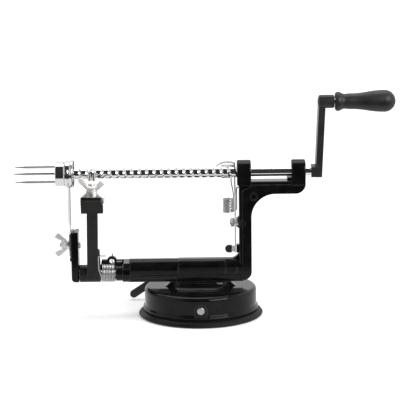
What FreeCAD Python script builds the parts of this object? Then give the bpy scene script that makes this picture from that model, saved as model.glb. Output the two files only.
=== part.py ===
import FreeCAD, Part
import math
import os

# Hand cranked apple peeler, corer and slicer on a round suction base.
# Millimetres. X runs along the feed screw towards the crank, Y points away from the
# person who turns it, Z is up. The origin is on the table under the centre of the base.

V = FreeCAD.Vector
ALONG_X = V(1, 0, 0)
ALONG_Y = V(0, 1, 0)
ALONG_Z = V(0, 0, 1)

# Fits
RUNNING_FIT = 0.05
AIR_GAP = 0.3

# Suction base
CUP_RADIUS = 50.0
CUP_RIM_HEIGHT = 4.8
CUP_WIDEST_HEIGHT = 1.7
CUP_SOLE_INSET = 2.0
CUP_SKIN = 2.6
CUP_SEAT_WIDTH = 1.0
CUP_CROWN = 0.4
RIM_OVERHANG = 3.6
RIM_GAP = 0.7
BEAD_WIDTH = 1.4
BEAD_HEIGHT = 2.8
COVE_HEIGHT = 1.7
HOUSING_HEIGHT = 18.0
HOUSING_SKIN = 2.4
HOUSING_TOP_ROUND = 3.0
PEDESTAL_HEIGHT = 4.7
PEDESTAL_HALF_LENGTH = 24.5
PEDESTAL_HALF_DEPTH = 13.0
PEDESTAL_FLARE = 5.5
STUD_FOOT_RADIUS = 10.0
STUD_FOOT_THICKNESS = 1.7

# Suction lever and its axle
AXLE_RADIUS = 3.0
AXLE_ABOVE_FLANGE = 7.7
AXLE_BOSS_RADIUS = 4.9
FRONT_PAD_PROUD = 0.8
PAD_INSIDE = 1.8
LEVER_AIR = 0.4
LEVER_EYE_WALL = 2.0
AXLE_PROUD = 1.2
CAM_LOW_RADIUS = 4.3
CAM_LIFT = 3.0
CAM_WIDTH = 6.0
LEVER_THICKNESS = 4.0
LEVER_HALF_HEIGHT = 3.2
LEVER_REACH = 59.2
LEVER_BEND = 16.5
LEVER_RISE = 0.6
LEVER_DROOP = 8.2
CLIP_THICKNESS = 0.9

# Cast frame
BAR_HEIGHT = 17.6
FRAME_HALF_DEPTH = 8.5
BAR_ROUND = 6.0
BAR_LEFT_ROUND = 8.2
BAR_CHANGE = 48.8
GROOVE_WIDTH = 0.6
GROOVE_DEPTH = 0.45
GROOVE_FOOT = 5.6
GROOVE_HEIGHT = 10.4
PAD_GAP = 1.6
PAD_LENGTH = 9.8
PAD_CORNER = 5.0
PAD_FOOT = 4.6
PAD_HEIGHT = 6.9
LEDGE_HEIGHT = 2.9
LEDGE_DEPTH = 0.6
LEDGE_SHORT = 2.0
THROAT = 128.7
HINGE_GAP = 40.4
POST_LEFT = 31.3
POST_WIDTH = 9.9
POST_CORNER = 7.0
UPRIGHT_WIDTH = 5.9
UPRIGHT_HEIGHT = 41.0
GUSSET_RADIUS = 19.0
FOOT_GUSSET = 7.0
ARM_DEPTH = 9.9
ARM_BELOW_SHAFT = 6.7
ARM_LENGTH = 43.2
ARM_END_ROUND = 8.0
EDGE_ROUND = 1.2
FACE_ROUND = 1.5
PANEL_PROUD = 0.7
PANEL_INSET = 2.6
PANEL_CORNER_WIDTH = 8.4
PANEL_CORNER_DROP = 5.0
PANEL_EDGE = 0.35
MARK_RADIUS = 3.2
MARK_WALL = 0.9
MARK_PROUD = 0.35
MARK_BELOW_PANEL_TOP = 9.4
MARK_FROM_PANEL = 9.1
PLUG_RADIUS = 2.6
PLUG_DIMPLE = 1.1
PLUG_PROUD = 0.25
SHAFT_ABOVE_BAR = 69.7
BOSS_RADIUS = 9.1
BOSS_LENGTH = 11.2
BOSS_STEP = 1.4
BOSS_RISE = 0.7
BOSS_TOE_LENGTH = 3.4
BOSS_TOE_HALF = 5.5
BOSS_TOE_HEIGHT = 2.6
STEP_LENGTH = 4.5
FOOT_RABBET_HEIGHT = 6.0
FOOT_RABBET_DEPTH = 0.9
SCREW_SPACING = 36.0
SCREW_RADIUS = 2.5
SCREW_HEAD_RADIUS = 4.4
SCREW_HEAD_HEIGHT = 2.4

# Feed screw
CORE_RADIUS = 3.5
CREST_RADIUS = 4.2
PITCH = 5.92
RIDGE_ROOT_WIDTH = 4.2
RIDGE_CREST_WIDTH = 3.0
THREAD_PAST_BOSS = 6.1
FORK_HUB_RADIUS = 9.75
FORK_HUB_LENGTH = 7.6
PRONG_RADIUS = 1.2
PRONG_CIRCLE = 6.9
PRONG_LENGTH = 32.6
PRONG_TAPER = 9.0
PRONG_POINT = 0.5
PRONG_COUNT = 3
PRONG_SOCKET = 2.0
NEAR_PRONG_ANGLE = 167.4

# Corer ring and slicing strip
RING_CLEARANCE = 0.65
RING_WALL = 0.95
RING_EDGE = 0.15
RING_LENGTH = 6.5
RING_FLARE = 3.8
STRIP_THICKNESS = 1.2
STRIP_HALF_WIDTH = 9.0
STRIP_FOOT_HALF_WIDTH = 6.5
STRIP_YAW = 10.0
STRIP_ABOVE_BAR = 3.7
SLICER_BOLT_ABOVE_BAR = 12.2
SMALL_BOLT_RADIUS = 2.0

# Crank and handle
CRANK_LEAN = 8.0
CRANK_RAKE = 1.95
CRANK_THROW = 57.2
CRANK_HUB_LENGTH = 8.6
CRANK_HUB_DEPTH = 10.4
CRANK_HUB_BELOW = 3.9
CRANK_HUB_ABOVE = 4.8
CRANK_HUB_ROUND = 1.4
CRANK_STUB = 4.7
CRANK_ARM_WIDTH = 5.2
CRANK_ARM_DEPTH = 8.6
CRANK_ARM_DRAFT = 4.0
CRANK_ARM_EDGE = 0.5
SPIGOT_RADIUS = 2.4
CRANK_PIN_RADIUS = 0.8
CRANK_PIN_PROUD = 1.4
CRANK_PIN_ANGLE = 130.0
SOCKET_RADIUS = 5.3
SOCKET_LENGTH = 11.8
SPINDLE_RADIUS = 2.5
KNOB_GAP = 0.8
KNOB_LENGTH = 47.5
KNOB_COLLAR_RADIUS = 7.6
KNOB_NECK_RADIUS = 6.2
KNOB_MAX_RADIUS = 8.65

# Peeling arm
PIVOT_Y = -2.5
PIVOT_ABOVE_SOLE = 6.5
PIVOT_PIN_RADIUS = 2.5
BARREL_RADIUS = 7.0
BARREL_LENGTH = 17.0
PEEL_ARM_WIDTH = 8.6
PEEL_ARM_DEPTH = 6.0
PEEL_ARM_SET = 2.0
EAR_WIDTH = 2.1
HEAD_WIDTH = 17.4
HEAD_HEIGHT = 11.8
HOLDER_LENGTH = 22.0
HOLDER_THICKNESS = 1.5
HOLDER_SLOPE = 33.0
HOLDER_TIP_HALF = 4.8
HOLDER_BOLT = 7.0
FLANGE_THICKNESS = 1.1
FLANGE_LENGTH = 9.0
FLANGE_DROP = 7.0
FLANGE_BEND = 1.4
FLANGE_BEND_DROP = 4.6
BLADE_RADIUS = 3.4
BLADE_WALL = 0.8
BLADE_HEIGHT = 7.4
BLADE_CLEARANCE = 0.6
BLADE_DROP = 3.8

# Peeling arm spring
ARM_SPRING_WIRE = 0.85
ARM_SPRING_RADIUS = 6.7
ARM_SPRING_PITCH = 1.26
ARM_SPRING_TURNS = 8

# Release lever
LEVER_GAP = 2.4
PLATE_THICKNESS = 1.0
RELEASE_PIVOT_ABOVE_BAR = 29.2
RELEASE_FOOT_ABOVE_BAR = 4.7
RELEASE_NUT_THICKNESS = 2.9
RELEASE_NUT_RADIUS = 3.9
SADDLE_LENGTH = 7.0
TAB_REACH = 15.6
GRIP_RADIUS = 3.1
RELEASE_SPRING_WIRE = 0.85
RELEASE_SPRING_RADIUS = 4.2
RELEASE_SPRING_PITCH = 1.32
RELEASE_SPRING_TURNS = 9
RELEASE_SPRING_BELOW_SHAFT = 32.4
HOOK_BELOW_SHAFT = 13.0
HOOK_DEPTH = 1.2

# Places that follow from the sizes above
HOUSING_FLANGE_RADIUS = CUP_RADIUS - RIM_OVERHANG
HOUSING_WALL_RADIUS = HOUSING_FLANGE_RADIUS - BEAD_WIDTH
HOUSING_BOTTOM = CUP_RIM_HEIGHT + RIM_GAP
HOUSING_TOP = HOUSING_BOTTOM + HOUSING_HEIGHT
BEAD_TOP = HOUSING_BOTTOM + BEAD_HEIGHT
WALL_START = BEAD_TOP + COVE_HEIGHT
AXLE_Z = HOUSING_BOTTOM + AXLE_ABOVE_FLANGE
BAR_BOTTOM = HOUSING_TOP + PEDESTAL_HEIGHT
BAR_TOP = BAR_BOTTOM + BAR_HEIGHT
SHAFT_Z = BAR_TOP + SHAFT_ABOVE_BAR
ARM_TOP = SHAFT_Z - ARM_BELOW_SHAFT
ARM_UNDER = ARM_TOP - ARM_DEPTH
UPRIGHT_TOP = BAR_BOTTOM + UPRIGHT_HEIGHT
PIVOT_Z = BAR_BOTTOM + PIVOT_ABOVE_SOLE
STRIP_BOTTOM = BAR_TOP + STRIP_ABOVE_BAR
SLICER_BOLT_Z = BAR_TOP + SLICER_BOLT_ABOVE_BAR
RELEASE_PIVOT_Z = BAR_TOP + RELEASE_PIVOT_ABOVE_BAR
RELEASE_FOOT_Z = BAR_TOP + RELEASE_FOOT_ABOVE_BAR
RELEASE_SPRING_BOTTOM = SHAFT_Z - RELEASE_SPRING_BELOW_SHAFT
UPRIGHT_RIGHT = POST_LEFT - THROAT
UPRIGHT_LEFT = UPRIGHT_RIGHT - UPRIGHT_WIDTH
POST_RIGHT = POST_LEFT + POST_WIDTH
ARM_END = POST_RIGHT + ARM_LENGTH
BOSS_LEFT = POST_LEFT - BOSS_STEP
BORE_RADIUS = CREST_RADIUS + 0.08
RING_INNER = FORK_HUB_RADIUS + RING_CLEARANCE
RING_LEFT = UPRIGHT_LEFT - 3.3
RING_RIGHT = RING_LEFT + RING_LENGTH
FORK_HUB_RIGHT = RING_LEFT - AIR_GAP
FORK_HUB_LEFT = FORK_HUB_RIGHT - FORK_HUB_LENGTH
THREAD_LEFT = RING_RIGHT - 0.4
THREAD_RIGHT = BOSS_LEFT + THREAD_PAST_BOSS
THREAD_LENGTH = THREAD_RIGHT - THREAD_LEFT
CRANK_HUB_LEFT = ARM_END + CRANK_STUB
CRANK_HUB_RIGHT = CRANK_HUB_LEFT + CRANK_HUB_LENGTH
SHAFT_LEFT = FORK_HUB_LEFT + 2.0
SHAFT_RIGHT = CRANK_HUB_RIGHT - 1.5
SOCKET_LEFT = CRANK_HUB_LEFT + 5.6
SOCKET_RIGHT = SOCKET_LEFT + SOCKET_LENGTH
KNOB_LEFT = SOCKET_RIGHT + KNOB_GAP
SOCKET_Z = SHAFT_Z + CRANK_THROW
BARREL_LEFT = UPRIGHT_RIGHT + 0.4
BARREL_RIGHT = BARREL_LEFT + BARREL_LENGTH
PEEL_ARM_LEFT = BARREL_LEFT + 6.4
PEEL_ARM_RIGHT = PEEL_ARM_LEFT + PEEL_ARM_WIDTH
HEAD_LEFT = PEEL_ARM_LEFT + PEEL_ARM_SET - (HEAD_WIDTH - PEEL_ARM_WIDTH) / 2
BLADE_X = PEEL_ARM_LEFT + 5.7
BLADE_Y = -(FORK_HUB_RADIUS + BLADE_CLEARANCE + BLADE_RADIUS)
HOLDER_TOP_Z = SHAFT_Z - BLADE_DROP
PLATE_RIGHT = POST_LEFT - LEVER_GAP
PLATE_LEFT = PLATE_RIGHT - PLATE_THICKNESS
HOOK_Z = SHAFT_Z - HOOK_BELOW_SHAFT
BAR_LEFT = UPRIGHT_RIGHT + HINGE_GAP
WEB_FRONT = PIVOT_Y + BARREL_RADIUS + 0.5
EYE_X = BAR_LEFT - 14.4
EYE_Z = BAR_TOP - 3.1
HOUSING_INNER_RADIUS = HOUSING_WALL_RADIUS - HOUSING_SKIN
FRONT_PAD_FACE = HOUSING_WALL_RADIUS + FRONT_PAD_PROUD
REAR_PAD_FACE = HOUSING_FLANGE_RADIUS
PAD_INNER = HOUSING_INNER_RADIUS - PAD_INSIDE
LEVER_Y = REAR_PAD_FACE + LEVER_AIR
HOUSING_CEILING = HOUSING_TOP - HOUSING_SKIN


def box(x0, x1, y0, y1, z0, z1):
    """Block between two corners."""
    return Part.makeBox(x1 - x0, y1 - y0, z1 - z0, V(x0, y0, z0))


def rod_x(radius, x0, x1, y, z):
    """Round bar along X."""
    return Part.makeCylinder(radius, x1 - x0, V(x0, y, z), ALONG_X)


def rod_y(radius, y0, y1, x, z):
    """Round bar along Y."""
    return Part.makeCylinder(radius, y1 - y0, V(x, y0, z), ALONG_Y)


def rod_z(radius, z0, z1, x, y):
    """Round bar along Z."""
    return Part.makeCylinder(radius, z1 - z0, V(x, y, z0), ALONG_Z)


def outline(steps):
    """Closed wire through points. A pair of points is an arc: one on the way and its end."""
    edges = []
    here = steps[0]
    for step in steps[1:] + [steps[0]]:
        if isinstance(step, tuple):
            edges.append(Part.Arc(here, step[0], step[1]).toShape())
            here = step[1]
        elif (step - here).Length > 1e-6:
            edges.append(Part.LineSegment(here, step).toShape())
            here = step
    return Part.Wire(edges)


def prism(steps, direction):
    """Solid swept straight along a direction from a closed outline."""
    return Part.Face(outline(steps)).extrude(direction)


def turned_z(steps):
    """Solid turned about the Z axis from an outline in the XZ plane."""
    return Part.Face(outline(steps)).revolve(V(0, 0, 0), ALONG_Z, 360)


def turned_x(steps, y, z):
    """Solid turned about a line along X from an outline of X and distance from that line."""
    placed = [move_step(step, V(0, y, z)) for step in steps]
    return Part.Face(outline(placed)).revolve(V(0, y, z), ALONG_X, 360)


def move_step(step, shift):
    """Outline step moved by a shift."""
    if isinstance(step, tuple):
        return tuple(point + shift for point in step)
    return step + shift


def fused(first, others):
    """One solid from several that overlap or touch."""
    return first.fuse(others).removeSplitter()


def rounded(shape, radius, keep):
    """Rounds the edges for which keep(edge) is true."""
    return shape.makeFillet(radius, [edge for edge in shape.Edges if keep(edge)])


def runs_along(edge, direction):
    """True for a straight edge parallel to a direction."""
    if len(edge.Vertexes) < 2 or not isinstance(edge.Curve, (Part.Line, Part.LineSegment)):
        return False
    span = edge.Vertexes[-1].Point - edge.Vertexes[0].Point
    return span.cross(direction).Length < 1e-4 * span.Length


def arc_middle(start, corner, end):
    """Middle point of the arc from start to end whose tangents meet at corner."""
    chord_middle = (start + end) * 0.5
    cosine = (end - start).Length / 2 / (corner - start).Length
    return chord_middle + (corner - chord_middle) * (cosine / (1 + cosine))


def biarc(p0, t0, p1, t1):
    """Two arcs, or one line, that leave p0 along t0 and arrive at p1 along t1."""
    chord = p1 - p0
    if chord.cross(t0).Length < 1e-7 and chord.cross(t1).Length < 1e-7:
        return [Part.LineSegment(p0, p1).toShape()]
    both = t0 + t1
    spread = 2 * (1 - t0.dot(t1))
    if spread < 1e-9:
        reach = chord.dot(chord) / (2 * chord.dot(both))
    else:
        root = math.sqrt(chord.dot(both) ** 2 + spread * chord.dot(chord))
        reach = (root - chord.dot(both)) / spread
    corner0 = p0 + t0 * reach
    corner1 = p1 - t1 * reach
    middle = (corner0 + corner1) * 0.5
    first = Part.Arc(p0, arc_middle(p0, corner0, middle), middle).toShape()
    second = Part.Arc(middle, arc_middle(middle, corner1, p1), p1).toShape()
    return [first, second]


def wire_form(knots, radius):
    """Bent round wire through knots of a point and a direction, as one unbroken tube."""
    edges = []
    for (p0, t0), (p1, t1) in zip(knots, knots[1:]):
        edges += biarc(p0, t0, p1, t1)
    path = Part.Wire(edges)
    start, heading = knots[0]
    section = Part.Wire([Part.Circle(start, heading, radius).toShape()])
    return Part.makeSolid(path.makePipeShell([section], True, False)), edges


def coil_knots(place, side, up, axis, radius, pitch, turns, start_turn):
    """Knots about half a turn apart on a coil about an axis. Angles are counted in turns."""
    knots = []
    count = int(round(turns * 2))
    for index in range(count + 1):
        turned = turns * index / count
        angle = 2 * math.pi * (start_turn + turned)
        lift = pitch * turned
        out = side * math.cos(angle) + up * math.sin(angle)
        around = up * math.cos(angle) - side * math.sin(angle)
        heading = around * (2 * math.pi * radius) + axis * pitch
        knots.append((place + out * radius + axis * lift, heading.normalize()))
    return knots


def least_gap(edges, wire_diameter, turn_length):
    """Smallest gap between stretches of a wire that lie half a turn or more apart."""
    points = []
    travelled = 0.0
    step = turn_length / 24
    for edge in edges:
        count = max(2, int(edge.Length / step))
        for index in range(count):
            first, last = edge.ParameterRange
            point = edge.valueAt(first + (last - first) * index / count)
            points.append((travelled + edge.Length * index / count, point))
        travelled += edge.Length
    gaps = [(p - q).Length for i, (s, p) in enumerate(points) for t, q in points[i + 1:]
            if t - s > turn_length / 2]
    return min(gaps) - wire_diameter


def stadium(half_length, half_depth, z):
    """Oblong with round ends, lying level."""
    flat = half_length - half_depth
    return outline([
        V(-flat, -half_depth, z),
        V(flat, -half_depth, z),
        (V(half_length, 0, z), V(flat, half_depth, z)),
        V(-flat, half_depth, z),
        (V(-half_length, 0, z), V(-flat, -half_depth, z)),
    ])


def hexagon(across_corners_radius, x0, x1, y, z):
    """Hexagon nut blank along X."""
    corners = [V(x0, y + across_corners_radius * math.cos(math.radians(60 * k)),
                 z + across_corners_radius * math.sin(math.radians(60 * k))) for k in range(6)]
    return prism(corners, V(x1 - x0, 0, 0))


def wing_nut(hub_radius, hub_height, bore, tip_radius, tip_height, thickness):
    """Wing nut on the origin with its axis along Z and its wings along X."""
    nut = Part.makeCone(hub_radius * 0.84, hub_radius, hub_height)
    wings = []
    for side in (1, -1):
        ear = prism([
            V(side * hub_radius * 0.5, -thickness / 2, 0.5),
            V(side * hub_radius * 0.9, -thickness / 2, 0.5),
            V(side * (tip_radius - 1.2), -thickness / 2, tip_height * 0.52),
            (V(side * tip_radius, -thickness / 2, tip_height * 0.82),
             V(side * (tip_radius - 2.6), -thickness / 2, tip_height)),
            V(side * (tip_radius - 4.4), -thickness / 2, tip_height * 0.93),
            V(side * hub_radius * 0.5, -thickness / 2, hub_height * 0.78),
        ], V(0, thickness, 0))
        wings.append(ear)
    nut = fused(nut, wings)
    return nut.cut(Part.makeCylinder(bore, hub_height + 2, V(0, 0, -1)))


def suction_cup():
    """Rubber cup, relaxed: a flat skin, and a lip that slopes up to the housing."""
    sole = CUP_RADIUS - CUP_SOLE_INSET
    lip = HOUSING_FLANGE_RADIUS - 0.3
    neck = lip - CUP_SEAT_WIDTH
    widest = V(CUP_RADIUS, 0, CUP_WIDEST_HEIGHT)
    lip_edge = V(lip, 0, CUP_RIM_HEIGHT)
    crown = (widest + lip_edge) * 0.5 + V(CUP_CROWN, 0, CUP_CROWN)
    return turned_z([
        V(0, 0, 0),
        V(sole, 0, 0),
        (V(CUP_RADIUS - CUP_CROWN, 0, CUP_WIDEST_HEIGHT * 0.32), widest),
        (crown, lip_edge),
        V(neck, 0, CUP_RIM_HEIGHT),
        V(neck, 0, HOUSING_BOTTOM),
        V(HOUSING_INNER_RADIUS + CUP_SEAT_WIDTH, 0, HOUSING_BOTTOM),
        V(HOUSING_INNER_RADIUS - 1.5, 0, CUP_SKIN),
        V(0, 0, CUP_SKIN),
    ])


def cup_stud():
    """Stirrup fixed to the middle of the cup. The cam turns inside it and lifts its crossbar."""
    foot_bottom = CUP_SKIN + RUNNING_FIT
    foot_top = foot_bottom + STUD_FOOT_THICKNESS
    window_half = CAM_LOW_RADIUS + CAM_LIFT + 0.5
    window_top = AXLE_Z + CAM_LOW_RADIUS + AIR_GAP
    leg = 2.4
    half_depth = CAM_WIDTH / 2 + 1.0
    bar_top = window_top + 2.2
    outer = window_half + leg
    foot = rod_z(STUD_FOOT_RADIUS + 1.5, foot_bottom, foot_top, 0, 0)
    stirrup = prism([
        V(-outer, -half_depth, foot_top),
        V(outer, -half_depth, foot_top),
        V(outer, -half_depth, bar_top - 2.0),
        (V(outer - 0.6, -half_depth, bar_top - 0.6), V(outer - 2.0, -half_depth, bar_top)),
        V(-outer + 2.0, -half_depth, bar_top),
        (V(-outer + 0.6, -half_depth, bar_top - 0.6), V(-outer, -half_depth, bar_top - 2.0)),
    ], V(0, 2 * half_depth, 0))
    window = box(-window_half, window_half, -half_depth - 1, half_depth + 1, foot_top, window_top)
    return fused(foot, [stirrup.cut(window)])


def axle_boss_outline(y, radius):
    """Round pad that runs straight down to the bead, seen from the front."""
    foot = BEAD_TOP - 0.5
    return [
        V(-radius, y, foot),
        V(radius, y, foot),
        V(radius, y, AXLE_Z),
        (V(0, y, AXLE_Z + radius), V(-radius, y, AXLE_Z)),
    ]


def base_housing():
    """Cast cover of the base: bead, cove, wall and top, with the pedestal for the frame."""
    bead = HOUSING_FLANGE_RADIUS
    wall = HOUSING_WALL_RADIUS
    inner = HOUSING_INNER_RADIUS
    top_round = HOUSING_TOP_ROUND
    lean = top_round * (1 - math.sqrt(0.5))
    shell = turned_z([
        V(0, 0, HOUSING_TOP),
        V(0, 0, HOUSING_CEILING),
        V(inner - 1.6, 0, HOUSING_CEILING),
        V(inner, 0, HOUSING_CEILING - 1.6),
        V(inner, 0, HOUSING_BOTTOM),
        V(bead - 0.8, 0, HOUSING_BOTTOM),
        (V(bead, 0, (HOUSING_BOTTOM + BEAD_TOP) / 2), V(bead - 0.7, 0, BEAD_TOP)),
        (V(wall + 0.15, 0, BEAD_TOP + COVE_HEIGHT * 0.42), V(wall, 0, WALL_START)),
        V(wall, 0, HOUSING_TOP - top_round),
        (V(wall - lean, 0, HOUSING_TOP - lean), V(wall - top_round, 0, HOUSING_TOP)),
    ])
    flare = PEDESTAL_FLARE
    height = BAR_BOTTOM - HOUSING_TOP
    rings = [
        stadium(PEDESTAL_HALF_LENGTH + flare, PEDESTAL_HALF_DEPTH + flare, HOUSING_TOP - 0.5),
        stadium(PEDESTAL_HALF_LENGTH + flare * 0.3, PEDESTAL_HALF_DEPTH + flare * 0.3,
                HOUSING_TOP + height * 0.42),
        stadium(PEDESTAL_HALF_LENGTH, PEDESTAL_HALF_DEPTH, BAR_BOTTOM),
    ]
    pedestal = Part.makeLoft(rings, True)
    front = prism(axle_boss_outline(-FRONT_PAD_FACE, AXLE_BOSS_RADIUS),
                  V(0, FRONT_PAD_FACE - PAD_INNER, 0))
    back = prism(axle_boss_outline(PAD_INNER, AXLE_BOSS_RADIUS),
                 V(0, REAR_PAD_FACE - PAD_INNER, 0))
    body = fused(shell, [pedestal, front, back])
    stirrup_half = CAM_LOW_RADIUS + CAM_LIFT + 0.5 + 2.4 + 0.8
    cavity_top = BAR_BOTTOM - 3.0
    cavity = box(-stirrup_half, stirrup_half, -CAM_WIDTH / 2 - 1.8, CAM_WIDTH / 2 + 1.8,
                 HOUSING_CEILING - 1, cavity_top)
    axle_hole = rod_y(AXLE_RADIUS + RUNNING_FIT, -wall - 5, wall + 5, 0, AXLE_Z)
    holes = [rod_z(SCREW_RADIUS + 0.1, HOUSING_CEILING - 1, BAR_BOTTOM + 1, x, 0)
             for x in (-SCREW_SPACING / 2, SCREW_SPACING / 2)]
    return body.cut([cavity, axle_hole] + holes)


def frame_screws():
    """Two pan head screws from inside the base up into the bar."""
    screws = []
    for x in (-SCREW_SPACING / 2, SCREW_SPACING / 2):
        head = rod_z(SCREW_HEAD_RADIUS, HOUSING_CEILING - SCREW_HEAD_HEIGHT, HOUSING_CEILING, x, 0)
        head = rounded(head, 0.8, lambda edge: edge.BoundBox.ZMax < HOUSING_CEILING - 2.0)
        shank = rod_z(SCREW_RADIUS, HOUSING_CEILING - 0.5, BAR_BOTTOM + 8.0, x, 0)
        screws.append(fused(head, [shank]))
    return Part.makeCompound(screws)


def lever_axle():
    """Cross axle through the base, with a domed end that shows at the front."""
    front = -HOUSING_WALL_RADIUS - AXLE_PROUD
    back = LEVER_Y + LEVER_THICKNESS
    rod = rod_y(AXLE_RADIUS, front, back, 0, AXLE_Z)
    return rounded(rod, 0.7, lambda edge: edge.BoundBox.YMax < front + 0.01)


def lift_cam():
    """Cam on the axle. Its radius grows evenly with the angle, so it lifts evenly."""
    per_turn = CAM_LIFT / math.pi
    rise = [polar_point(CAM_LOW_RADIUS + per_turn * a, a) for a in spaced(0, math.pi * 1.08, 9)]
    top = CAM_LOW_RADIUS + per_turn * math.pi * 1.08
    fall = [polar_point(top + (CAM_LOW_RADIUS - top) * smooth(a), math.pi * (1.08 + 0.92 * a))
            for a in spaced(0, 1, 7)]
    edges = [curve_through(rise), curve_through(fall)]
    disc = Part.Face(Part.Wire(edges)).extrude(V(0, CAM_WIDTH, 0))
    return disc.cut(rod_y(AXLE_RADIUS, -CAM_WIDTH, CAM_WIDTH, 0, AXLE_Z))


def polar_point(radius, angle):
    """Point round the axle. The angle is counted from straight up towards the rear turn."""
    return V(-radius * math.sin(angle), -CAM_WIDTH / 2, AXLE_Z + radius * math.cos(angle))


def spaced(first, last, count):
    """Evenly spaced values from first to last."""
    return [first + (last - first) * index / (count - 1) for index in range(count)]


def smooth(share):
    """Share from 0 to 1 that starts and ends level."""
    return share * share * (3 - 2 * share)


def curve_through(points):
    """Smooth curve through points."""
    curve = Part.BSplineCurve()
    curve.interpolate(points)
    return curve.toShape()


def axle_clip():
    """Open clip inside the rear pad that keeps the axle from sliding out."""
    y = PAD_INNER - AIR_GAP - CLIP_THICKNESS
    disc = rod_y(AXLE_RADIUS + 2.4, y, y + CLIP_THICKNESS, 0, AXLE_Z)
    disc = disc.cut(rod_y(AXLE_RADIUS, y - 1, y + 2, 0, AXLE_Z))
    mouth = box(-1.6, 1.6, y - 1, y + 2, AXLE_Z - AXLE_RADIUS - 4, AXLE_Z)
    return disc.cut(mouth)


def suction_lever():
    """Lever behind the base: level along the wall, then bent down to a round tip."""
    y = LEVER_Y
    half = LEVER_HALF_HEIGHT
    bend_x = -LEVER_REACH + LEVER_BEND
    tip_x = -LEVER_REACH + half
    rise = LEVER_RISE
    tip_z = AXLE_Z - LEVER_DROOP
    run = V(tip_x - bend_x, 0, tip_z - AXLE_Z - rise)
    side = V(-run.z, 0, run.x).normalize() * half
    bend = V(bend_x, y, AXLE_Z + rise)
    tip = V(tip_x, y, tip_z)
    hub = V(0, y, AXLE_Z)
    blade = prism([
        hub + V(0, 0, half),
        bend + V(-0.6, 0, half),
        tip - side,
        (tip + run * (half / run.Length), tip + side),
        bend + V(1.0, 0, -half),
        hub + V(0, 0, -half),
    ], V(0, LEVER_THICKNESS, 0))
    eye = rod_y(AXLE_RADIUS + LEVER_EYE_WALL, y, y + LEVER_THICKNESS, 0, AXLE_Z)
    lever = fused(blade, [eye])
    lever = rounded(lever, 0.8, lambda edge: abs(edge.BoundBox.YMin - edge.BoundBox.YMax) < 1e-4)
    return lever.cut(rod_y(AXLE_RADIUS, y - 1, y + LEVER_THICKNESS + 1, 0, AXLE_Z))


def bar_section(x, top_round, inset):
    """Outline of the bar across its length, drawn in on the front by an inset."""
    half = FRAME_HALF_DEPTH
    front = -half + inset
    top = BAR_TOP - inset
    lean = 1 - math.sqrt(0.5)
    foot_top = BAR_BOTTOM + FOOT_RABBET_HEIGHT
    return [
        V(x, front + FOOT_RABBET_DEPTH, BAR_BOTTOM),
        V(x, half, BAR_BOTTOM),
        V(x, half, top - top_round),
        (V(x, half - top_round * lean, top - top_round * lean), V(x, half - top_round, top)),
        V(x, front + top_round, top),
        (V(x, front + top_round * lean, top - top_round * lean), V(x, front, top - top_round)),
        V(x, front, foot_top),
        V(x, front + FOOT_RABBET_DEPTH, foot_top - FOOT_RABBET_DEPTH),
    ]


def front_groove(x):
    """Shallow upright groove in the front of the bar."""
    skin = prism(bar_section(x, BAR_ROUND, -1.0), V(GROOVE_WIDTH, 0, 0))
    core = prism(bar_section(x - 1, BAR_ROUND, GROOVE_DEPTH), V(GROOVE_WIDTH + 2, 0, 0))
    foot = BAR_BOTTOM + GROOVE_FOOT
    slot = box(x - 1, x + GROOVE_WIDTH + 1, -FRAME_HALF_DEPTH - 2, 0, foot, foot + GROOVE_HEIGHT)
    return skin.cut(core).common(slot)


def pad_plate(inset):
    """Pad where the bar runs into the post, open to the left, drawn in by an inset."""
    lean = 1 - math.sqrt(0.5)
    corner = PAD_CORNER - inset
    low = BAR_BOTTOM + PAD_FOOT + inset
    high = BAR_BOTTOM + PAD_FOOT + PAD_HEIGHT + 0.5
    right = POST_LEFT - PAD_GAP - inset
    left = POST_LEFT - PAD_GAP - PAD_LENGTH - 2
    front = -FRAME_HALF_DEPTH - 1
    return prism([
        V(left, front, low),
        V(right - corner, front, low),
        (V(right - corner * lean, front, low + corner * lean), V(right, front, low + corner)),
        V(right, front, high),
        V(left, front, high),
    ], V(0, GROOVE_DEPTH + 1, 0))


def pad_groove():
    """Groove round the foot and the right side of the pad."""
    right = POST_LEFT - PAD_GAP
    foot = BAR_BOTTOM + PAD_FOOT
    window = box(right - PAD_LENGTH, right + 1, -FRAME_HALF_DEPTH - 2, 0, foot - 1,
                 foot + PAD_HEIGHT)
    return pad_plate(0).cut(pad_plate(GROOVE_WIDTH)).common(window)


def post_plate(half_depth):
    """Post and its arm as a flat plate, centred on the frame."""
    y = -half_depth
    lean = 1 - math.sqrt(0.5)
    gusset = GUSSET_RADIUS
    foot = BAR_BOTTOM + 0.8
    return prism([
        V(POST_LEFT, y, foot),
        V(POST_RIGHT - POST_CORNER, y, foot),
        (V(POST_RIGHT - POST_CORNER * lean, y, foot + POST_CORNER * lean),
         V(POST_RIGHT, y, foot + POST_CORNER)),
        V(POST_RIGHT, y, ARM_UNDER - gusset),
        (V(POST_RIGHT + gusset * lean, y, ARM_UNDER - gusset * lean),
         V(POST_RIGHT + gusset, y, ARM_UNDER)),
        V(ARM_END - ARM_END_ROUND, y, ARM_UNDER),
        (V(ARM_END - ARM_END_ROUND * lean, y, ARM_UNDER + ARM_END_ROUND * lean),
         V(ARM_END, y, ARM_UNDER + ARM_END_ROUND)),
        V(ARM_END, y, ARM_TOP),
        V(POST_LEFT, y, ARM_TOP),
    ], V(0, 2 * half_depth, 0))


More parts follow.
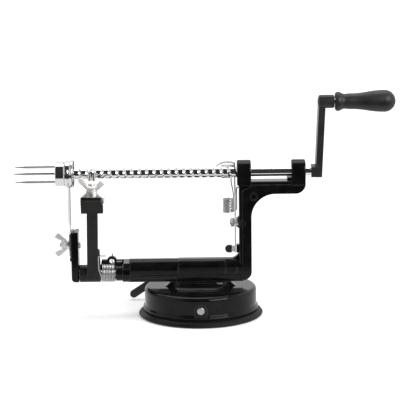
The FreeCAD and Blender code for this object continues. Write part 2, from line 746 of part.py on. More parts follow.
def raised_panel():
    """Panel that stands proud of the post's front and back, drawn in at the left and top."""
    half = FRAME_HALF_DEPTH
    left = POST_LEFT + PANEL_INSET
    top = ARM_TOP - PANEL_INSET
    low = top - PANEL_CORNER_DROP
    corner = left + PANEL_CORNER_WIDTH
    window = prism([
        V(left, -half - 1, BAR_BOTTOM),
        V(ARM_END + 1, -half - 1, BAR_BOTTOM),
        V(ARM_END + 1, -half - 1, top),
        V(corner, -half - 1, top),
        V(left, -half - 1, low),
    ], V(0, 2 * half + 2, 0))

    def is_step(edge):
        box_of = edge.BoundBox
        on_left = box_of.XMax < left + 1e-3
        on_corner = box_of.XMax < corner + 1e-3 and box_of.ZMin > low - 1e-3
        on_top = box_of.ZMin > top - 1e-3
        return box_of.YLength < 1e-4 and (on_left or on_corner or on_top)

    return rounded(post_plate(half).common(window), PANEL_EDGE, is_step)


def post_and_arm():
    """Post with the arm to the crank, its raised panels and the marks on its front."""
    half = FRAME_HALF_DEPTH
    core_half = half - PANEL_PROUD
    core = rounded(post_plate(core_half), FACE_ROUND, lambda edge: is_outer_run(edge, core_half))
    mark_x = POST_LEFT + PANEL_INSET + MARK_FROM_PANEL
    mark_z = ARM_TOP - PANEL_INSET - MARK_BELOW_PANEL_TOP
    mark = rod_y(MARK_RADIUS, -half - MARK_PROUD, -half + 1, mark_x, mark_z)
    mark = mark.cut(rod_y(MARK_RADIUS - MARK_WALL, -half - 1, -half, mark_x, mark_z))
    plug_x = POST_LEFT + PLUG_RADIUS
    plug = rod_y(PLUG_RADIUS, -half - PLUG_PROUD, -half + 2, plug_x, RELEASE_PIVOT_Z)
    dimple = rod_y(PLUG_DIMPLE, -half - 1, -half + 0.5, plug_x, RELEASE_PIVOT_Z)
    return fused(core, [raised_panel(), mark, plug]).cut(dimple)


def frame_casting():
    """Cast frame: bar, post and arm on the right, upright and pivot lugs on the left."""
    half = FRAME_HALF_DEPTH
    bar_left = BAR_LEFT
    change = POST_LEFT - BAR_CHANGE
    lean = 1 - math.sqrt(0.5)
    left_bar = prism(bar_section(bar_left, BAR_LEFT_ROUND, 0), V(change - bar_left, 0, 0))
    right_bar = prism(bar_section(change, BAR_ROUND, 0), V(POST_LEFT + 3 - change, 0, 0))
    ledge = box(bar_left - 1, change - LEDGE_SHORT, -half - 1,
                -half + FOOT_RABBET_DEPTH + LEDGE_DEPTH, BAR_BOTTOM - 1, BAR_BOTTOM + LEDGE_HEIGHT)
    grooves = [
        front_groove(change - GROOVE_WIDTH),
        front_groove(POST_LEFT - PAD_GAP - PAD_LENGTH),
        pad_groove(),
    ]
    bar = fused(left_bar, [right_bar]).cut([ledge] + grooves)
    post = post_and_arm()
    shoulder = prism([
        V(POST_LEFT + 2, -half + BAR_ROUND, BAR_TOP - 2),
        V(POST_LEFT + 2, -half + BAR_ROUND, BAR_TOP + FOOT_GUSSET),
        V(POST_LEFT, -half + BAR_ROUND, BAR_TOP + FOOT_GUSSET),
        (V(POST_LEFT - FOOT_GUSSET * lean, -half + BAR_ROUND, BAR_TOP + FOOT_GUSSET * lean),
         V(POST_LEFT - FOOT_GUSSET, -half + BAR_ROUND, BAR_TOP)),
        V(POST_LEFT - FOOT_GUSSET, -half + BAR_ROUND, BAR_TOP - 2),
    ], V(0, 2 * (half - BAR_ROUND), 0))
    bosses = [shaft_boss(BOSS_LEFT), shaft_boss(ARM_END - BOSS_LENGTH)]
    pivot_pad = rod_x(5.0, POST_LEFT - 0.6, POST_LEFT + 3, 0, RELEASE_PIVOT_Z)
    stop_pad = box(PLATE_RIGHT + AIR_GAP, POST_LEFT + 2, -2.6, 2.6, RELEASE_FOOT_Z,
                   RELEASE_FOOT_Z + 6.4)
    right_boss = ARM_END - BOSS_LENGTH
    boss_toe = box(right_boss - BOSS_TOE_LENGTH, right_boss + 1, -BOSS_TOE_HALF, BOSS_TOE_HALF,
                   ARM_TOP - 1, ARM_TOP + BOSS_TOE_HEIGHT)
    body = fused(bar, [post, shoulder, pivot_pad, stop_pad, boss_toe] + bosses + left_end())
    cuts = [
        rod_x(BORE_RADIUS, BOSS_LEFT - 1, ARM_END + 1, 0, SHAFT_Z),
        rod_x(SMALL_BOLT_RADIUS, POST_LEFT - 3, POST_LEFT + 8, 0, RELEASE_PIVOT_Z),
        rod_x(PIVOT_PIN_RADIUS, UPRIGHT_LEFT + 2, bar_left - 1.5, PIVOT_Y, PIVOT_Z),
        rod_x(RELEASE_SPRING_WIRE / 2 + RUNNING_FIT, POST_LEFT - 1, POST_LEFT + HOOK_DEPTH + 0.1,
              RELEASE_SPRING_RADIUS, HOOK_Z),
        rod_x(SMALL_BOLT_RADIUS, UPRIGHT_LEFT - 3, UPRIGHT_RIGHT + 1, 0, SLICER_BOLT_Z),
    ]
    cuts += [rod_z(SCREW_RADIUS, BAR_BOTTOM - 1, BAR_BOTTOM + 9, x, 0)
             for x in (-SCREW_SPACING / 2, SCREW_SPACING / 2)]
    return body.cut(cuts)


def is_outer_run(edge, half):
    """Front or back edge on the left face of the post or the top of the arm."""
    centre = edge.BoundBox.Center
    on_side = abs(abs(centre.y) - half) < 1e-4 and edge.BoundBox.YLength < 1e-4
    on_left = edge.BoundBox.XMax < POST_LEFT + 1e-4
    on_top = edge.BoundBox.ZMin > ARM_TOP - 1e-4
    return on_side and (on_left or on_top)


def shaft_boss(x0):
    """Bearing boss: round over the shaft and straight down into the arm."""
    half = BOSS_RADIUS
    centre = SHAFT_Z + BOSS_RISE
    lean = math.sqrt(0.5) * half
    boss = prism([
        V(x0, -half, ARM_TOP - 3),
        V(x0, half, ARM_TOP - 3),
        V(x0, half, centre),
        (V(x0, 0, centre + half), V(x0, -half, centre)),
    ], V(BOSS_LENGTH, 0, 0))
    boss = fused(boss, [rod_x(half, x0, x0 + BOSS_LENGTH, 0, centre)])
    ends = (x0, x0 + BOSS_LENGTH)
    return rounded(boss, EDGE_ROUND, lambda edge: edge.BoundBox.XLength < 1e-4
                   and edge.BoundBox.ZMin > SHAFT_Z - lean - 4
                   and min(abs(edge.BoundBox.XMin - end) for end in ends) < 1e-4)


def left_end():
    """Backbone behind the hinge, its spring eye, the pin lug and the left upright."""
    half = FRAME_HALF_DEPTH
    bar_left = BAR_LEFT
    web_front = WEB_FRONT
    eye_outer = 4.1
    low_top = BAR_TOP - 6.3
    high_top = BAR_TOP - 1.9
    web = prism([
        V(UPRIGHT_RIGHT - 1, web_front, BAR_BOTTOM),
        V(bar_left + 1, web_front, BAR_BOTTOM),
        V(bar_left + 1, web_front, high_top),
        V(bar_left - 22.5, web_front, high_top),
        V(bar_left - 23.5, web_front, low_top),
        V(UPRIGHT_RIGHT - 1, web_front, low_top),
    ], V(0, half - web_front, 0))
    eye = rod_y(eye_outer, web_front, half, EYE_X, EYE_Z)
    eye_hole = rod_y(2.0, web_front - 1, half + 1, EYE_X, EYE_Z)
    web = fused(web, [eye]).cut(eye_hole)
    lug_left = bar_left - 10.6
    lug = rod_x(6.2, lug_left, bar_left + 1, PIVOT_Y, PIVOT_Z)
    lug = fused(lug, [rod_x(7.2, bar_left - 5.4, bar_left + 1, PIVOT_Y, PIVOT_Z)])
    lug_rib = box(lug_left, bar_left + 1, PIVOT_Y, web_front + 1, BAR_BOTTOM + 1.0, PIVOT_Z + 6.0)
    cap = box(bar_left - 10.4, bar_left - 6.0, -1.0, web_front + 1, PIVOT_Z + 4.5, BAR_TOP - 2.3)
    cap = rounded(cap, EDGE_ROUND, lambda edge: runs_along(edge, ALONG_Z)
                  and edge.BoundBox.YMax < 0)
    upright = prism([
        V(UPRIGHT_RIGHT, -half + 1.5, BAR_BOTTOM),
        V(UPRIGHT_RIGHT, -half + 1.5, UPRIGHT_TOP),
        V(UPRIGHT_LEFT + 2.8, -half + 1.5, UPRIGHT_TOP),
        V(UPRIGHT_LEFT + 2.1, -half + 1.5, UPRIGHT_TOP - 1.2),
        V(UPRIGHT_LEFT + 1.4, -half + 1.5, UPRIGHT_TOP),
        V(UPRIGHT_LEFT, -half + 1.5, UPRIGHT_TOP - 0.3),
        V(UPRIGHT_LEFT, -half + 1.5, BAR_BOTTOM + 3.0),
        (V(UPRIGHT_LEFT + 0.88, -half + 1.5, BAR_BOTTOM + 0.88),
         V(UPRIGHT_LEFT + 3.0, -half + 1.5, BAR_BOTTOM)),
    ], V(0, 2 * half - 1.5, 0))
    upright = rounded(upright, EDGE_ROUND, lambda edge: runs_along(edge, ALONG_Z)
                      and edge.BoundBox.ZLength > 20)
    sole = BAR_BOTTOM + 16.5
    bump = prism([
        V(UPRIGHT_LEFT + 1, -5, sole),
        V(UPRIGHT_LEFT, -5, sole),
        (V(UPRIGHT_LEFT - 1.2, -5, sole + 2.3), V(UPRIGHT_LEFT, -5, sole + 4.6)),
        V(UPRIGHT_LEFT + 1, -5, sole + 4.6),
    ], V(0, 10, 0))
    step = box(bar_left - STEP_LENGTH, bar_left + 1, -half, half, PIVOT_Z, high_top)
    return [web, lug, lug_rib, cap, step, upright, bump]


def release_bolt():
    """Shoulder bolt in the post on which the release lever swings."""
    left = PLATE_LEFT - AIR_GAP - RELEASE_NUT_THICKNESS - 0.8
    bolt = rod_x(SMALL_BOLT_RADIUS, left, POST_LEFT + 8, 0, RELEASE_PIVOT_Z)
    return rounded(bolt, 0.5, lambda edge: edge.BoundBox.XMax < left + 0.01)


def release_nut():
    """Hexagon nut in front of the lever plate."""
    right = PLATE_LEFT - AIR_GAP
    nut = hexagon(RELEASE_NUT_RADIUS, right - RELEASE_NUT_THICKNESS, right, 0, RELEASE_PIVOT_Z)
    return nut.cut(rod_x(SMALL_BOLT_RADIUS, right - 5, right + 1, 0, RELEASE_PIVOT_Z))


def release_washers():
    """Two washers that hold the lever plate off the post."""
    left = PLATE_RIGHT + AIR_GAP
    thickness = (POST_LEFT - 0.6 - left) / 2
    rings = []
    for index in range(2):
        start = left + thickness * index
        ring = rod_x(3.9 + 0.5 * index, start, start + thickness, 0, RELEASE_PIVOT_Z)
        rings.append(ring.cut(rod_x(SMALL_BOLT_RADIUS, start - 1, start + 3, 0, RELEASE_PIVOT_Z)))
    return Part.makeCompound(rings)


def release_lever():
    """Thin sheet lever: foot tab, pivot eye, neck that passes behind the screw, thumb tab."""
    foot = RELEASE_FOOT_Z
    pivot = RELEASE_PIVOT_Z
    neck_front = CREST_RADIUS + 1.0
    neck_back = neck_front + 5.4
    top = SHAFT_Z + 6.2
    plate = prism([
        V(PLATE_LEFT, -3.0, foot),
        V(PLATE_LEFT, 3.0, foot),
        V(PLATE_LEFT, 3.4, pivot - 6),
        (V(PLATE_LEFT, 5.2, pivot), V(PLATE_LEFT, 3.4, pivot + 6)),
        V(PLATE_LEFT, 3.2, SHAFT_Z - 19),
        (V(PLATE_LEFT, 5.2, SHAFT_Z - 14), V(PLATE_LEFT, neck_back, SHAFT_Z - 8)),
        V(PLATE_LEFT, neck_back, top),
        V(PLATE_LEFT, neck_front, top),
        V(PLATE_LEFT, neck_front, SHAFT_Z - 6),
        (V(PLATE_LEFT, 2.6, SHAFT_Z - 10), V(PLATE_LEFT, -3.2, SHAFT_Z - 17)),
        V(PLATE_LEFT, -3.4, pivot + 6),
        (V(PLATE_LEFT, -5.2, pivot), V(PLATE_LEFT, -3.4, pivot - 6)),
    ], V(PLATE_THICKNESS, 0, 0))
    tab_left = PLATE_RIGHT - TAB_REACH
    middle = PLATE_RIGHT - TAB_REACH * 0.58
    thick = PLATE_THICKNESS
    tab = prism([
        V(PLATE_RIGHT, neck_front, top - thick),
        V(PLATE_RIGHT, neck_front, top),
        (V(middle, neck_front, top + 1.3), V(tab_left, neck_front, top - 2.0)),
        V(tab_left, neck_front, top - 2.0 - thick),
        (V(middle, neck_front, top + 1.3 - thick), V(PLATE_RIGHT, neck_front, top - thick)),
    ], V(0, neck_back - neck_front, 0))
    corner = 1.8
    plan = prism([
        V(PLATE_RIGHT, neck_front, top - 8),
        V(PLATE_RIGHT, neck_back, top - 8),
        V(tab_left + corner, neck_back, top - 8),
        (V(tab_left + corner * 0.293, neck_back - corner * 0.293, top - 8),
         V(tab_left, neck_back - corner, top - 8)),
        V(tab_left, neck_front + corner, top - 8),
        (V(tab_left + corner * 0.293, neck_front + corner * 0.293, top - 8),
         V(tab_left + corner, neck_front, top - 8)),
    ], V(0, 0, 12))
    tab = tab.common(plan)
    foot_tab = box(PLATE_LEFT - 7.0, PLATE_LEFT + 0.5, -3.0, -2.0, foot + 0.9, foot + 5.7)
    lever = fused(plate, [tab, foot_tab])
    return lever.cut(rod_x(SMALL_BOLT_RADIUS + RUNNING_FIT, PLATE_LEFT - 1, PLATE_RIGHT + 1,
                           0, pivot))


def half_nut():
    """Saddle behind the screw, with one slanted tooth that sits in the thread groove."""
    right = PLATE_LEFT - 3.2
    left = right - SADDLE_LENGTH
    front = 1.6
    back = CREST_RADIUS + 1.0 + 5.4
    top = SHAFT_Z + 4.6
    saddle = prism([
        V(left, front, SHAFT_Z - 5.2),
        V(left, back - 1.5, SHAFT_Z - 5.2),
        (V(left, back - 0.44, SHAFT_Z - 4.76), V(left, back, SHAFT_Z - 3.7)),
        V(left, back, top),
        V(left, front + 1.5, top),
        V(left, front, top - 1.5),
    ], V(PLATE_LEFT - left, 0, 0))
    hollow = rod_x(CREST_RADIUS + 0.35, left - 1, PLATE_RIGHT, 0, SHAFT_Z)
    relief = box(right, PLATE_LEFT + 1, front - 1, CREST_RADIUS + 1.0, SHAFT_Z - 9, SHAFT_Z + 9)
    saddle = saddle.cut([hollow, relief])
    turns = math.floor((left + SADDLE_LENGTH / 2 - ridge_start()) / PITCH)
    groove_x = ridge_start() + PITCH * (turns + 0.5)
    lead = math.degrees(math.atan(PITCH / (2 * math.pi * CREST_RADIUS)))
    tooth = box(-0.55, 0.55, CORE_RADIUS + 0.25, CREST_RADIUS + 1.2, -1.9, 1.9)
    tooth.rotate(V(0, 0, 0), ALONG_Y, lead)
    tooth.translate(V(groove_x, 0, SHAFT_Z))
    return fused(saddle, [tooth])


def ridge_start():
    """X where the middle of the thread ridge crosses the rear side of the screw."""
    return THREAD_LEFT + RIDGE_ROOT_WIDTH / 2


def release_grip():
    """Dipped grip on the foot tab."""
    z = RELEASE_FOOT_Z + 3.3
    left = PLATE_LEFT - 7.9
    right = PLATE_LEFT - 2.5
    shell = prism([
        V(left + GRIP_RADIUS, -4.3, z - GRIP_RADIUS),
        V(right, -4.3, z - GRIP_RADIUS),
        V(right, -4.3, z + GRIP_RADIUS),
        V(left + GRIP_RADIUS, -4.3, z + GRIP_RADIUS),
        (V(left, -4.3, z), V(left + GRIP_RADIUS, -4.3, z - GRIP_RADIUS)),
    ], V(0, 3.6, 0))
    shell = rounded(shell, 1.0, lambda edge: edge.BoundBox.YLength < 1e-4
                    and edge.BoundBox.XMin < right - 1)
    foot = RELEASE_FOOT_Z
    return shell.cut(box(PLATE_LEFT - 7.0, PLATE_LEFT + 0.5, -3.0, -2.0, foot + 0.9, foot + 5.7))


def release_spring():
    """Coil beside the post. One end rises to the half nut, the other hooks into the post."""
    radius = RELEASE_SPRING_RADIUS
    wire = RELEASE_SPRING_WIRE
    bottom = RELEASE_SPRING_BOTTOM
    axis_x = PLATE_LEFT - AIR_GAP - wire / 2 - radius
    coil = coil_knots(V(axis_x, 0, bottom), ALONG_X, ALONG_Y, ALONG_Z, radius,
                      RELEASE_SPRING_PITCH, RELEASE_SPRING_TURNS - 0.25, 0.25)
    leg_x = PLATE_RIGHT + 0.4 + wire / 2
    hook = [
        (V(POST_LEFT + HOOK_DEPTH, radius, HOOK_Z), V(-1, 0, 0)),
        (V(POST_LEFT - 0.6, radius, HOOK_Z), V(-1, 0, 0)),
        (V(leg_x, radius, HOOK_Z - 1.2), V(0, 0, -1)),
        (V(leg_x, radius, bottom + 2.2), V(0, 0, -1)),
        (V(leg_x - 2.0, radius, bottom), V(-1, 0, 0)),
    ]
    top = coil[-1][0]
    saddle_foot = SHAFT_Z - 5.2
    reach = [
        (top + V(-0.1, 1.7, 1.9), V(0, 0, 1)),
        (top + V(-0.9, 2.0, 8.0), V(-0.18, 0.05, 1).normalize()),
        (V(PLATE_LEFT - 2.5, 2.8, saddle_foot - 2.5), V(0, 0, 1)),
        (V(PLATE_LEFT - 2.5, 2.8, saddle_foot - AIR_GAP), V(0, 0, 1)),
    ]
    solid, edges = wire_form(hook + coil + reach, wire / 2)
    gap = least_gap(edges, wire, 2 * math.pi * radius)
    print("release spring, least gap to itself: %.2f mm" % gap)
    return solid


def peel_arm_pin():
    """Hinge pin of the peeling arm."""
    return rod_x(PIVOT_PIN_RADIUS, UPRIGHT_LEFT + 2, BAR_LEFT - 1.5, PIVOT_Y, PIVOT_Z)


def meet(p, d, q, e):
    """Point where the line through p along d crosses the line through q along e, in YZ."""
    share = ((q.y - p.y) * e.z - (q.z - p.z) * e.y) / (d.y * e.z - d.z * e.y)
    return p + d * share


def holder_directions():
    """Unit directions up the blade holder and out of its top face."""
    slope = math.radians(HOLDER_SLOPE)
    return V(0, math.cos(slope), math.sin(slope)), V(0, -math.sin(slope), math.cos(slope))


def holder_front():
    """Middle of the lower front edge of the holder's top face."""
    along, _ = holder_directions()
    return V(0, BLADE_Y, HOLDER_TOP_Z) - along * (HOLDER_LENGTH - BLADE_RADIUS)


def peel_arm_lines():
    """Pivot, direction up the arm and direction out of its front face."""
    along, out = holder_directions()
    pivot = V(0, PIVOT_Y, PIVOT_Z)
    seat = holder_front() + along * 2.6 - out * HOLDER_THICKNESS - ALONG_Z * HEAD_HEIGHT * 0.5
    offset = BARREL_RADIUS - PEEL_ARM_DEPTH / 2
    span = seat - pivot
    lean = math.atan2(-span.y, span.z) - math.asin(offset / span.Length)
    up = V(0, -math.sin(lean), math.cos(lean))
    front = V(0, -math.cos(lean), -math.sin(lean))
    return pivot, up, front


def peel_arm():
    """Peeling arm: hinge barrel, flat arm and a head block cut to the slope of the holder."""
    pivot, up, front = peel_arm_lines()
    along, out = holder_directions()
    under = holder_front() - out * HOLDER_THICKNESS
    front_line = pivot + front * BARREL_RADIUS
    back_line = pivot + front * (BARREL_RADIUS - PEEL_ARM_DEPTH)
    head_front = meet(front_line, up, under, along)
    head_back = meet(back_line, up, under, along)
    head_foot = meet(front_line, up, head_front - ALONG_Z * HEAD_HEIGHT, front)
    head_heel = meet(back_line, up, head_foot, front)
    wide = V(PEEL_ARM_WIDTH, 0, 0)
    arm = prism([front_line, front_line + wide, back_line + wide, back_line],
                head_foot - front_line + V(PEEL_ARM_SET, 0, 0))
    arm.translate(V(PEEL_ARM_LEFT, 0, 0))
    head = prism([head_foot, head_front, head_back, head_heel], V(HEAD_WIDTH, 0, 0))
    head.translate(V(HEAD_LEFT, 0, 0))
    head = head.cut(on_holder(flange_bend(-PEEL_ARM_DEPTH)))
    barrel = rod_x(BARREL_RADIUS, BARREL_LEFT, BARREL_RIGHT, PIVOT_Y, PIVOT_Z)
    barrel = barrel.makeChamfer(0.6, barrel.Edges)
    ear_foot = pivot + front * 1.0
    ear_front = ARM_SPRING_RADIUS - ARM_SPRING_WIRE / 2 - RUNNING_FIT - 1.0
    ear = prism([
        ear_foot,
        ear_foot + up * 22,
        ear_foot + up * 24 + front * 1.5,
        ear_foot + up * 24 + front * ear_front,
        ear_foot + front * ear_front,
    ], V(EAR_WIDTH, 0, 0))
    ear.translate(V(PEEL_ARM_RIGHT, 0, 0))
    body = fused(barrel, [arm, head, ear])
    bolt_foot = holder_front() + along * HOLDER_BOLT
    bolt_foot.x = HEAD_LEFT + HEAD_WIDTH / 2
    hole = Part.makeCylinder(SMALL_BOLT_RADIUS, 10, bolt_foot, out * -1)
    return body.cut([rod_x(PIVOT_PIN_RADIUS + RUNNING_FIT, BARREL_LEFT - 1, BARREL_RIGHT + 1,
                           PIVOT_Y, PIVOT_Z), hole])


def blade_holder():
    """Bright plate on the head, full width at its foot and narrow at the blade."""
    half = HEAD_WIDTH / 2
    tip_half = HOLDER_TIP_HALF
    length = HOLDER_LENGTH
    plate = prism([
        V(-half, 0, 0),
        V(half, 0, 0),
        V(half, length * 0.5, 0),
        (V(half - 1.2, length * 0.62, 0), V(tip_half, length * 0.74, 0)),
        V(tip_half, length - 2.5, 0),
        (V(tip_half - 0.75, length - 0.75, 0), V(tip_half - 2.5, length, 0)),
        V(-tip_half + 2.5, length, 0),
        (V(-tip_half + 0.75, length - 0.75, 0), V(-tip_half, length - 2.5, 0)),
        V(-tip_half, length * 0.74, 0),
        (V(-half + 1.2, length * 0.62, 0), V(-half, length * 0.5, 0)),
    ], V(0, 0, -HOLDER_THICKNESS))
    flange = box(half, half + FLANGE_THICKNESS, 0, FLANGE_LENGTH, -FLANGE_DROP, 0)
    flange = rounded(flange, 1.0, lambda edge: edge.BoundBox.ZMax < -FLANGE_DROP + 0.1
                     and runs_along(edge, ALONG_X))
    plate = fused(plate, [flange, flange_bend(0)])
    plate = plate.cut(Part.makeCylinder(SMALL_BOLT_RADIUS, 8, V(0, HOLDER_BOLT, -4)))
    return on_holder(plate)


def flange_bend(start):
    """Inside of the bend where the plate turns down into its flange, modelled flat."""
    half = HEAD_WIDTH / 2
    top = -HOLDER_THICKNESS
    return prism([
        V(half - FLANGE_BEND, start, top),
        V(half, start, top),
        V(half, start, top - FLANGE_BEND_DROP),
    ], V(0, FLANGE_LENGTH - start, 0))


def on_holder(shape):
    """Shape modelled flat, with Y up the slope, moved onto the holder's top face."""
    placed = shape.copy()
    placed.rotate(V(0, 0, 0), ALONG_X, HOLDER_SLOPE)
    foot = holder_front()
    placed.translate(V(HEAD_LEFT + HEAD_WIDTH / 2, foot.y, foot.z))
    return placed


def peeling_blade():
    """Small curved blade: half a tube with a closed lower end and a nib, open to the rear."""
    bottom = HOLDER_TOP_Z - 1.0
    top = HOLDER_TOP_Z + 1.4 + BLADE_HEIGHT
    place = V(BLADE_X, BLADE_Y, bottom)
    tube = Part.makeCylinder(BLADE_RADIUS, top - bottom, place)
    tube = rounded(tube, 1.4, lambda edge: edge.BoundBox.ZMin > top - 0.01)
    bore_radius = BLADE_RADIUS - BLADE_WALL
    bore = Part.makeCylinder(bore_radius, top - HOLDER_TOP_Z - 3.4,
                             V(BLADE_X, BLADE_Y, HOLDER_TOP_Z + 2.4))
    window = box(BLADE_X - BLADE_RADIUS, BLADE_X + BLADE_RADIUS, BLADE_Y + 1.3,
                 BLADE_Y + BLADE_RADIUS + 1, HOLDER_TOP_Z + 2.4, top - 1.0)
    nib = rod_z(1.0, top - 0.6, top + 0.7, BLADE_X, BLADE_Y)
    blade = fused(tube.cut([bore, window]), [nib])
    below = Part.makeBox(40, 60, 20, V(-20, -30, -20))
    return blade.cut(on_holder(below))


def blade_bolt():
    """Stud through the holder into the head block, with a domed end above the wing nut."""
    stud = Part.makeCylinder(SMALL_BOLT_RADIUS, 8.5 + 9.6, V(0, HOLDER_BOLT, -8.5))
    stud = rounded(stud, 1.2, lambda edge: edge.BoundBox.ZMin > 9.5)
    return on_holder(stud)


def blade_washer():
    """Washer under the wing nut."""
    washer = Part.makeCylinder(4.7, 0.9, V(0, HOLDER_BOLT, 0))
    collar = Part.makeCylinder(3.9, 0.9, V(0, HOLDER_BOLT, 0.9))
    return on_holder(fused(washer, [collar]).cut(
        Part.makeCylinder(SMALL_BOLT_RADIUS, 4, V(0, HOLDER_BOLT, -1))))


def blade_wing_nut():
    """Wing nut that clamps the blade holder."""
    nut = wing_nut(4.4, 5.8, SMALL_BOLT_RADIUS + RUNNING_FIT, 10.7, 11.2, 1.7)
    nut.rotate(V(0, 0, 0), ALONG_Z, -12)
    nut.translate(V(0, HOLDER_BOLT, 1.9))
    return on_holder(nut)


def peel_arm_spring():
    """Torsion spring round the hinge pin, from the arm's ear to the frame's eye."""
    wire = ARM_SPRING_WIRE
    radius = ARM_SPRING_RADIUS
    _, up, front = peel_arm_lines()
    lean = math.atan2(-up.y, up.z) / (2 * math.pi)
    start_x = BARREL_RIGHT + 0.4 + wire / 2
    coil = coil_knots(V(start_x, PIVOT_Y, PIVOT_Z), front * -1, up, ALONG_X, radius,
                      ARM_SPRING_PITCH, ARM_SPRING_TURNS + 0.5 - lean, 0.5)
    foot = coil[0][0]
    leg_shift = V(PEEL_ARM_RIGHT + EAR_WIDTH / 2 - start_x, 0, 0)
    rest = foot + up * 20.0 + leg_shift
    arm_leg = [
        (rest + V(6.0, 0, 0), V(-1, 0, 0)),
        (rest + V(1.2, 0, 0), V(-1, 0, 0)),
        (rest - up * 1.2, up * -1),
        (foot + up * 8.0 + leg_shift, up * -1),
    ]
    eye = V(EYE_X, (WEB_FRONT + FRAME_HALF_DEPTH) / 2, EYE_Z)
    behind = FRAME_HALF_DEPTH + 0.4 + wire / 2
    last = coil[-1][0]
    frame_leg = [
        (last + V(0, 0.15, 4.4), V(-0.1, 0, 1).normalize()),
        (eye + V(0.9, WEB_FRONT - 0.75 - eye.y, -0.6), V(-0.6, 0.5, 0.6).normalize()),
        (eye + V(0, -0.2, 0.3), V(0, 1, 0.15).normalize()),
        (V(EYE_X + 0.1, behind, EYE_Z + 2.4), V(0.05, 0, 1).normalize()),
        (V(EYE_X + 0.6, behind, EYE_Z + 5.6), V(0.15, 0, 1).normalize()),
    ]
    solid, edges = wire_form(arm_leg + coil + frame_leg, wire / 2)
    gap = least_gap(edges, wire, 2 * math.pi * radius)
    print("peeling arm spring, least gap to itself: %.2f mm" % gap)
    return solid


def feed_shaft():
    """Plain core of the feed screw, with a thinner spigot in the crank hub."""
    shaft = rod_x(CORE_RADIUS, SHAFT_LEFT, CRANK_HUB_LEFT, 0, SHAFT_Z)
    return fused(shaft, [rod_x(SPIGOT_RADIUS, CRANK_HUB_LEFT - 1, SHAFT_RIGHT, 0, SHAFT_Z)])


def feed_thread():
    """Coarse right hand ridge rolled on the screw."""
    inner = CORE_RADIUS + RUNNING_FIT
    turns = (THREAD_LENGTH - RIDGE_ROOT_WIDTH) / PITCH
    helix = Part.makeHelix(PITCH, PITCH * turns, inner)
    root = RIDGE_ROOT_WIDTH / 2
    crest = RIDGE_CREST_WIDTH / 2
    section = outline([
        V(inner, 0, -root),
        V(CREST_RADIUS, 0, -crest),
        V(CREST_RADIUS, 0, crest),
        V(inner, 0, root),
    ])
    ridge = Part.makeSolid(Part.Wire(helix).makePipeShell([section], True, True))
    ridge.rotate(V(0, 0, 0), ALONG_Y, 90)
    ridge.rotate(V(0, 0, 0), ALONG_X, 90)
    ridge.translate(V(ridge_start(), 0, SHAFT_Z))
    return ridge


def fork_hub():
    """Bright round hub on the left end of the screw."""
    edge = 0.7
    hub = turned_x([
        V(FORK_HUB_LEFT, 0, 0),
        V(FORK_HUB_LEFT, 0, FORK_HUB_RADIUS - edge),
        V(FORK_HUB_LEFT + edge, 0, FORK_HUB_RADIUS),
        V(FORK_HUB_RIGHT - edge, 0, FORK_HUB_RADIUS),
        V(FORK_HUB_RIGHT, 0, FORK_HUB_RADIUS - edge),
        V(FORK_HUB_RIGHT, 0, 0),
    ], 0, SHAFT_Z)
    sockets = [rod_x(PRONG_RADIUS, FORK_HUB_LEFT - 1, FORK_HUB_RIGHT - PRONG_SOCKET, y, z)
               for y, z in prong_places()]
    shaft_hole = rod_x(CORE_RADIUS + RUNNING_FIT, SHAFT_LEFT - AIR_GAP, FORK_HUB_RIGHT + 1,
                       0, SHAFT_Z)
    return hub.cut(sockets + [shaft_hole])


def prong_places():
    """Y and Z of the prongs: one in front, a little high, the others evenly round the axis."""
    start = math.radians(NEAR_PRONG_ANGLE)
    angles = [start + 2 * math.pi * k / PRONG_COUNT for k in range(PRONG_COUNT)]
    return [(PRONG_CIRCLE * math.cos(a), SHAFT_Z + PRONG_CIRCLE * math.sin(a)) for a in angles]


def fork_prongs():
    """Pointed prongs that hold the apple."""
    prongs = []
    tip = FORK_HUB_LEFT - PRONG_LENGTH
    for y, z in prong_places():
        prongs.append(turned_x([
            V(tip, 0, 0),
            (V(tip + PRONG_POINT * 0.3, 0, PRONG_POINT * 0.7),
             V(tip + PRONG_POINT, 0, PRONG_POINT)),
            V(tip + PRONG_TAPER, 0, PRONG_RADIUS),
            V(FORK_HUB_RIGHT - PRONG_SOCKET, 0, PRONG_RADIUS),
            V(FORK_HUB_RIGHT - PRONG_SOCKET, 0, 0),
        ], y, z))
    return Part.makeCompound(prongs)


def ring_outer_steps():
    """Flared outer profile of the corer ring, as X and distance from the screw axis."""
    outer = RING_INNER + RING_WALL
    return [
        V(RING_LEFT, 0, 0),
        V(RING_LEFT, 0, RING_INNER + RING_EDGE),
        (V(RING_LEFT + RING_FLARE * 0.5, 0, RING_INNER + RING_WALL * 0.35),
         V(RING_LEFT + RING_FLARE, 0, outer - 0.1)),
        (V(RING_LEFT + RING_FLARE + 0.7, 0, outer), V(RING_RIGHT - 1.0, 0, outer - 0.1)),
        V(RING_RIGHT, 0, RING_INNER + 0.3),
        V(RING_RIGHT, 0, 0),
    ]


def corer_ring():
    """Corer ring, sharpened on the side that the apple comes from."""
    body = turned_x(ring_outer_steps(), 0, SHAFT_Z)
    return body.cut(rod_x(RING_INNER, RING_LEFT - 1, RING_RIGHT + 1, 0, SHAFT_Z))


def strip_section(z, half_width, yaw, bevel):
    """Level section of the slicing strip: a thin bar with one sharpened edge."""
    x = UPRIGHT_LEFT - STRIP_THICKNESS / 2
    half = STRIP_THICKNESS / 2
    section = outline([
        V(x - half, half_width, z),
        V(x - half, -half_width, z),
        V(x + half - bevel, -half_width, z),
        V(x + half, -half_width + 3.0, z),
        V(x + half, half_width, z),
    ])
    section.rotate(V(x, 0, z), ALONG_Z, yaw)
    return section


